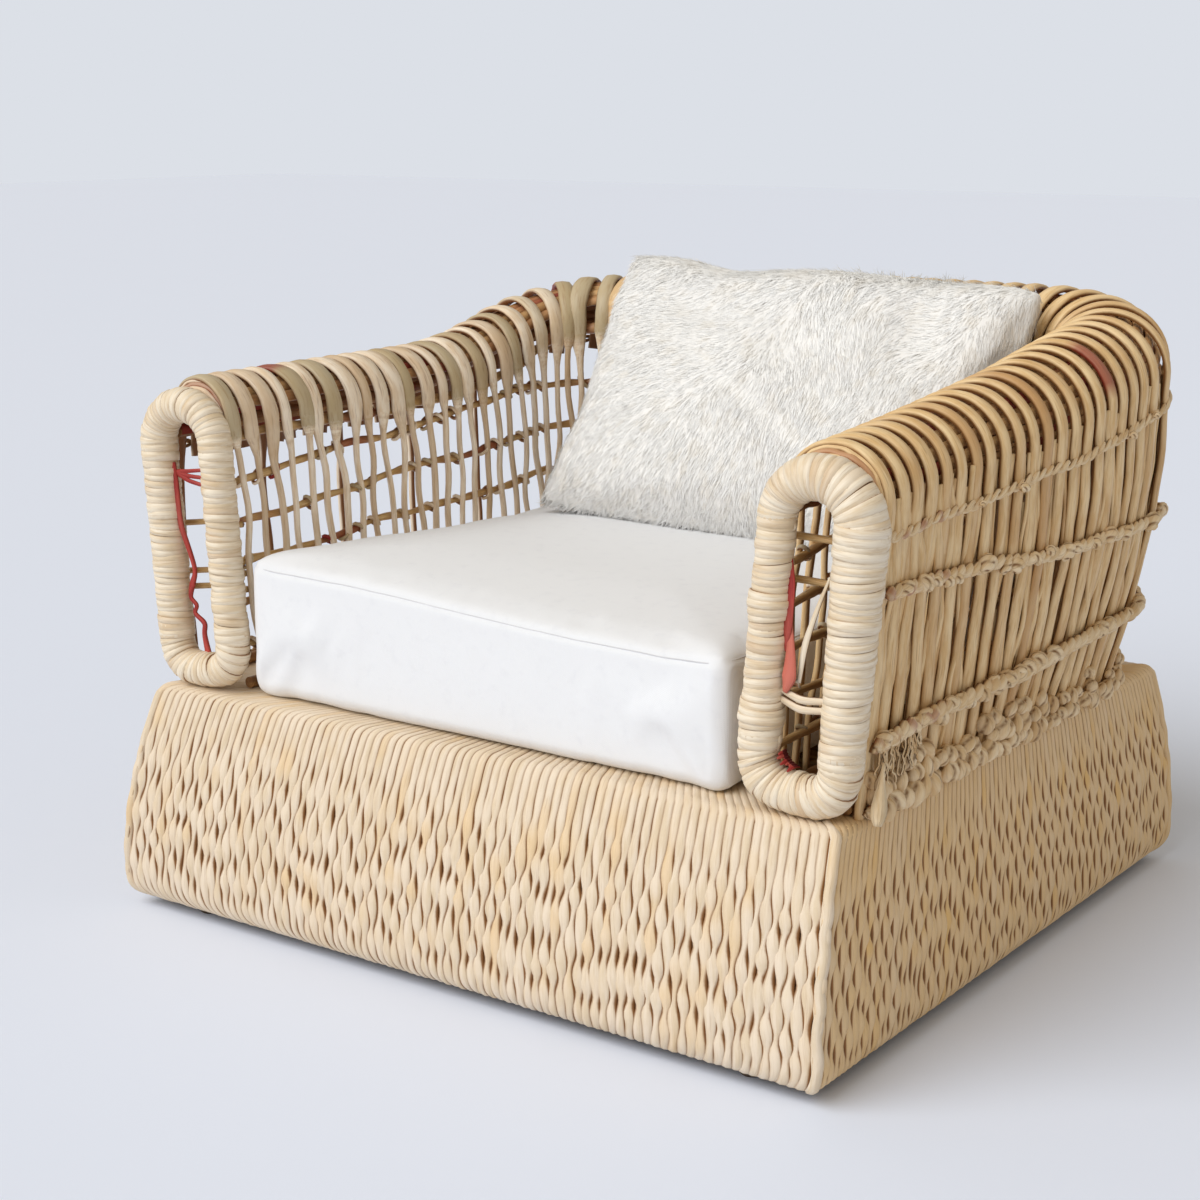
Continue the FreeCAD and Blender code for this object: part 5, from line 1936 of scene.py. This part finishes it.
@dataclass
class FurPillow:
    """Loose pillow with long ivory pile that leans on the back."""

    width: float = 0.624
    height: float = 0.387
    thickness: float = 0.124
    centre: Triple = (0.049, 0.196, 0.6100)
    lean: float = math.radians(32.2)
    roll: float = math.radians(2.2)
    hairs: int = 120000
    hair_length: float = 0.019
    hair_width: float = 0.00046
    lock_size: int = 30
    hollows: tuple = ((-0.02, 0.09, 0.14, 0.06, 0.010), (-0.14, 0.11, 0.060, 0.040, 0.016),
                      (0.02, 0.06, 0.050, 0.045, 0.016), (0.18, 0.09, 0.045, 0.055, 0.015))

    def blank(self) -> Piece:
        """Flat block drawn out to a pillow with thin edges and pulled-out corners.

        Returns:
            The blank, lying in its own directions about the origin.
        """
        clear_selection()
        bpy.ops.mesh.primitive_cube_add(size=2.0)
        block = bpy.context.object
        block.name = "fur_pillow"
        with editing():
            bpy.ops.mesh.subdivide(number_cuts=22)
        for vertex in block.data.vertices:
            x, y, z = vertex.co
            swell = (1 - abs(x) ** 2.4) ** 0.62 * (1 - abs(z) ** 2.4) ** 0.62
            rounding = 1 - 0.05 * (x * z) ** 4
            draw_x = rounding - 0.045 * (1 - z * z)
            draw_z = rounding - 0.022 * (1 - x * x)
            vertex.co = (x * self.width / 2 * draw_x, y * (0.007 + self.thickness / 2 * swell),
                         z * self.height / 2 * draw_z)
        return block

    def place(self, piece: Piece) -> None:
        """Draws the swollen pillow out to its width and height, leans it back and puts it in its place.

        Args:
            piece: The pillow, about the origin.
        """
        size = np.ptp(read(piece.data.vertices, "co", 3), axis=0)
        piece.data.transform(Matrix.Diagonal((self.width / size[0], 1.0, self.height / size[2], 1.0)))
        turn = Matrix.Rotation(-self.lean, 4, "X") @ Matrix.Rotation(self.roll, 4, "Y")
        piece.data.transform(Matrix.Translation(self.centre) @ turn)

    def dents(self, piece: Piece) -> None:
        """Presses the dip into the top edge and the soft hollows into the face.

        Args:
            piece: The pillow, about the origin.
        """
        for vertex in piece.data.vertices:
            x, y, z = vertex.co
            rise = smoothstep(-0.05, 0.17, z)
            dip = math.exp(-((x + 0.125) / 0.07) ** 2)
            vertex.co.z -= 0.012 * rise * dip
            hollow = sum(deep * math.exp(-((x - a) / wide) ** 2 - ((z - c) / tall) ** 2)
                         for a, c, wide, tall, deep in self.hollows)
            crease = math.exp(-((x * 0.5 + z + 0.02) / 0.02) ** 2) * math.exp(-(x / 0.2) ** 2)
            if y < 0:
                vertex.co.y += hollow + 0.004 * crease
            vertex.co.y += 0.006 * noise.noise(Vector((x * 7, 1.0, z * 7)))

    def hair(self, body: Piece) -> tuple[Array, Array, Array]:
        """Locks of hair over the whole body.

        Args:
            body: The pillow in its place.

        Returns:
            Points of the hairs, five each, their tones and their shading directions.
        """
        rng = Seed.FUR.draws()
        mesh = body.data
        mesh.calc_loop_triangles()
        triangles = read(mesh.loop_triangles, "vertices", 3, np.int32)
        normals = read(mesh.vertices, "normal", 3)
        sides = read(mesh.vertices, "co", 3)[triangles]
        area = np.linalg.norm(np.cross(sides[:, 1] - sides[:, 0], sides[:, 2] - sides[:, 0]), axis=1)
        chosen = rng.choice(len(triangles), self.hairs, p=area / area.sum())
        mix = rng.dirichlet((1, 1, 1), self.hairs)[:, :, None]
        root = (sides[chosen] * mix).sum(1)
        normal = unit((normals[triangles[chosen]] * mix).sum(1))
        lock_count = self.hairs // self.lock_size
        tree = kdtree.KDTree(lock_count)
        for index in range(lock_count):
            tree.insert(root[index], index)
        tree.balance()
        lock = np.array([tree.find(place)[1] for place in root])
        swirl = np.array([noise.noise(Vector(p) * 5.5) + 0.6 * noise.noise(Vector(p) * 14.0)
                          for p in root[:lock_count]])
        heading = -0.55 + 1.1 * swirl + rng.normal(0, 0.08, lock_count)
        down = np.array([0.0, -math.sin(self.lean), -math.cos(self.lean)])
        flow = np.sin(heading)[:, None] * np.array([1.0, 0.0, 0.0]) + np.cos(heading)[:, None] * down
        spill = unit(root[:lock_count] - np.array(self.centre))
        flow = flow + 0.35 * spill
        lying = flow[lock]
        lying = lying - normal * (lying * normal).sum(1, keepdims=True)
        face = np.array([0.0, -math.cos(self.lean), math.sin(self.lean)])
        high = (np.array(self.centre) - root) @ down
        rim = smoothstep(0.80, 0.30, np.abs(normal @ face)) * smoothstep(0.17, 0.12, high)
        fringe = smoothstep(-0.150, -0.185, high)
        stray = 0.07 + 0.10 * rim + 0.25 * fringe
        lying = unit(lying + rng.normal(0, 1, (self.hairs, 3)) * stray[:, None])
        size = self.hair_length * rng.uniform(0.6, 1.15, self.hairs)
        size = size * (0.88 + 0.24 * rng.uniform(size=lock_count)[lock])
        raised = rng.uniform(0.03, 0.11, self.hairs) * (1 + 3.6 * rim)
        first = unit(lying + normal * raised[:, None])
        second = unit(lying + normal * (raised * 0.25)[:, None])
        middle = root + first * (size * 0.5)[:, None]
        tip = middle + second * (size * 0.5)[:, None]
        gather = tip[:lock_count][lock]
        pull = 0.008 / np.maximum(np.linalg.norm(gather - tip, axis=1), 1e-6)
        tip = tip + (gather - tip) * np.minimum(0.12, pull)[:, None]
        side = unit(np.cross(lying, normal) + 0.22 * normal * rng.normal(0, 1, self.hairs)[:, None])
        half = side * (self.hair_width * rng.uniform(0.7, 1.3, self.hairs))[:, None]
        base = root - normal * 0.0015
        hair = np.stack([base - half, base + half, middle - half * 0.8, middle + half * 0.8, tip], 1)
        tone = np.stack([rng.uniform(size=self.hairs), rng.uniform(size=lock_count)[lock]], 1)
        shade = unit(normal + 0.07 * first + 0.04 * side * rng.normal(0, 1, self.hairs)[:, None])
        return hair, tone, shade

    def build(self) -> None:
        """Builds the pillow and its pile as one piece."""
        body = self.blank()
        PadMaker(voxel=0.0075, pressure=3.0, cap=0.010).swell(body)
        PadMaker.refine(body)
        self.dents(body)
        self.place(body)
        hair, tone, shade = self.hair(body)
        points = read(body.data.vertices, "co", 3)
        normals = read(body.data.vertices, "normal", 3)
        corners = read(body.data.loops, "vertex_index", kind=np.int32)
        starts = read(body.data.polygons, "loop_start", kind=np.int32)
        skin = len(points)
        first = skin + 5 * np.arange(self.hairs)
        blade = first[:, None] + np.array([0, 1, 3, 2, 2, 3, 4])
        offsets = len(corners) + 7 * np.arange(self.hairs)[:, None] + np.array([0, 4])
        marks = np.zeros((skin + 5 * self.hairs, 4))
        marks[:skin] = 0.5, 0.3, 0.0, 0.25
        marks[skin:, :2] = np.repeat(tone, 5, axis=0)
        marks[skin:, 3] = np.tile([0.15, 0.15, 0.6, 0.6, 1.0], self.hairs)
        mesh = new_mesh("fur_pillow", np.concatenate([points, hair.reshape(-1, 3)]),
                        np.concatenate([corners, blade.ravel()]).astype(np.int32),
                        np.concatenate([starts, offsets.ravel()]).astype(np.int32), marks)
        shading = np.concatenate([normals, np.repeat(shade, 5, axis=0)])
        mesh.normals_split_custom_set_from_vertices(shading.tolist())
        mesh.materials.append(material_of(FUR))
        old = body.data
        body.data = mesh
        bpy.data.meshes.remove(old)
        settle(body, Body.PILLOW, ["pillow_cover", "pillow_filling"])


class FrameDress:
    """Finishes of the nodes that keep their own shape."""

    finishes: ClassVar[tuple] = (
        (("_loop_pole", "crest_rail", "outer_top_rail", "inner_foot_rail", "outer_foot_rail"), RAIL),
        (("_bottom_rail", "_top_rail", "_post", "base_stiles"), POLE),
        (("deck_slats", "deck_bearer"), DECK_WOOD), (("deck_screws",), ZINC), (("floor_glides",), GLIDE))

    def build(self) -> None:
        """Dresses every node that still shows."""
        for name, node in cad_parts.items():
            if node.hide_render:
                continue
            finish = next(f for ends, f in self.finishes if name.endswith(ends))
            node.data.materials.clear()
            node.data.materials.append(material_of(finish))
            log.info("%s: %s", name, finish.name)


@dataclass
class Studio:
    """Pale floor, soft light and the camera."""

    camera_place: Triple = (1.4990, -2.2274, 0.9959)
    camera_aim: Triple = (-0.5686, 0.7913, -0.2250)
    lens: float = 64.97
    floor_size: float = 40.0
    key_from: Triple = (-0.30, -0.68, 0.67)
    key_strength: float = 2.15
    key_spread: float = math.radians(56)
    fill_strength: float = 0.46

    def floor(self) -> None:
        """Pale floor that keeps the shadow."""
        clear_selection()
        bpy.ops.mesh.primitive_grid_add(x_subdivisions=4, y_subdivisions=4, size=self.floor_size)
        floor = bpy.context.object
        floor.name = "studio_floor"
        shader = Shader("studio_floor")
        speck = shader.noise(shader.object_place((3.0, 3.0, 3.0)), 1.0, 2.0)
        colour = shader.mix(speck * 0.3, srgb(231, 238, 253), srgb(229, 236, 251))
        floor.data.materials.append(shader.surface(colour, 0.7, None, 0.0, {"Specular IOR Level": 0.1}))

    def light(self) -> None:
        """Soft key from the front left, and the world's fill and backdrop."""
        data = bpy.data.lights.new("key", "SUN")
        data.energy = self.key_strength
        data.angle = self.key_spread
        data.color = (0.97, 0.985, 1.0)
        key = bpy.data.objects.new("key", data)
        key.rotation_euler = Vector(self.key_from).to_track_quat("Z", "Y").to_euler()
        bpy.context.scene.collection.objects.link(key)
        world = bpy.data.worlds.new("studio")
        bpy.context.scene.world = world
        shader = Shader(world)
        seen = shader.node("ShaderNodeBackground", None, {0: srgb(220, 224, 231)})
        fill = shader.node("ShaderNodeBackground", None, {0: (1.0, 0.93, 0.82, 1.0), 1: self.fill_strength})
        camera = shader.node("ShaderNodeLightPath", None, None, "Is Camera Ray")
        picked = shader.node("ShaderNodeMixShader", None, {0: camera, 1: fill, 2: seen})
        shader.node("ShaderNodeOutputWorld", None, {0: picked})

    def camera(self) -> None:
        """Camera at the photograph's place."""
        data = bpy.data.cameras.new("camera")
        data.sensor_width = 36.0
        data.lens = self.lens
        camera = bpy.data.objects.new("camera", data)
        camera.location = self.camera_place
        camera.rotation_euler = Vector(self.camera_aim).to_track_quat("-Z", "Y").to_euler()
        bpy.context.scene.collection.objects.link(camera)
        bpy.context.scene.camera = camera

    def build(self) -> None:
        """Sets the scene."""
        bpy.context.scene.view_settings.view_transform = "Standard"
        self.floor()
        self.light()
        self.camera()


def main() -> None:
    """Builds the chair and its setting."""
    logging.basicConfig(level=logging.INFO, format="%(message)s")
    plan = TubPlan()
    tub = CaneTub(plan)
    RushBase().build()
    tub.build()
    TwinedRows(plan, tub).build()
    for side in Side:
        ArmLoop(side, plan).build()
    SeatCushion().build()
    FurPillow().build()
    FrameDress().build()
    Studio().build()


if __name__ == "__main__":
    main()
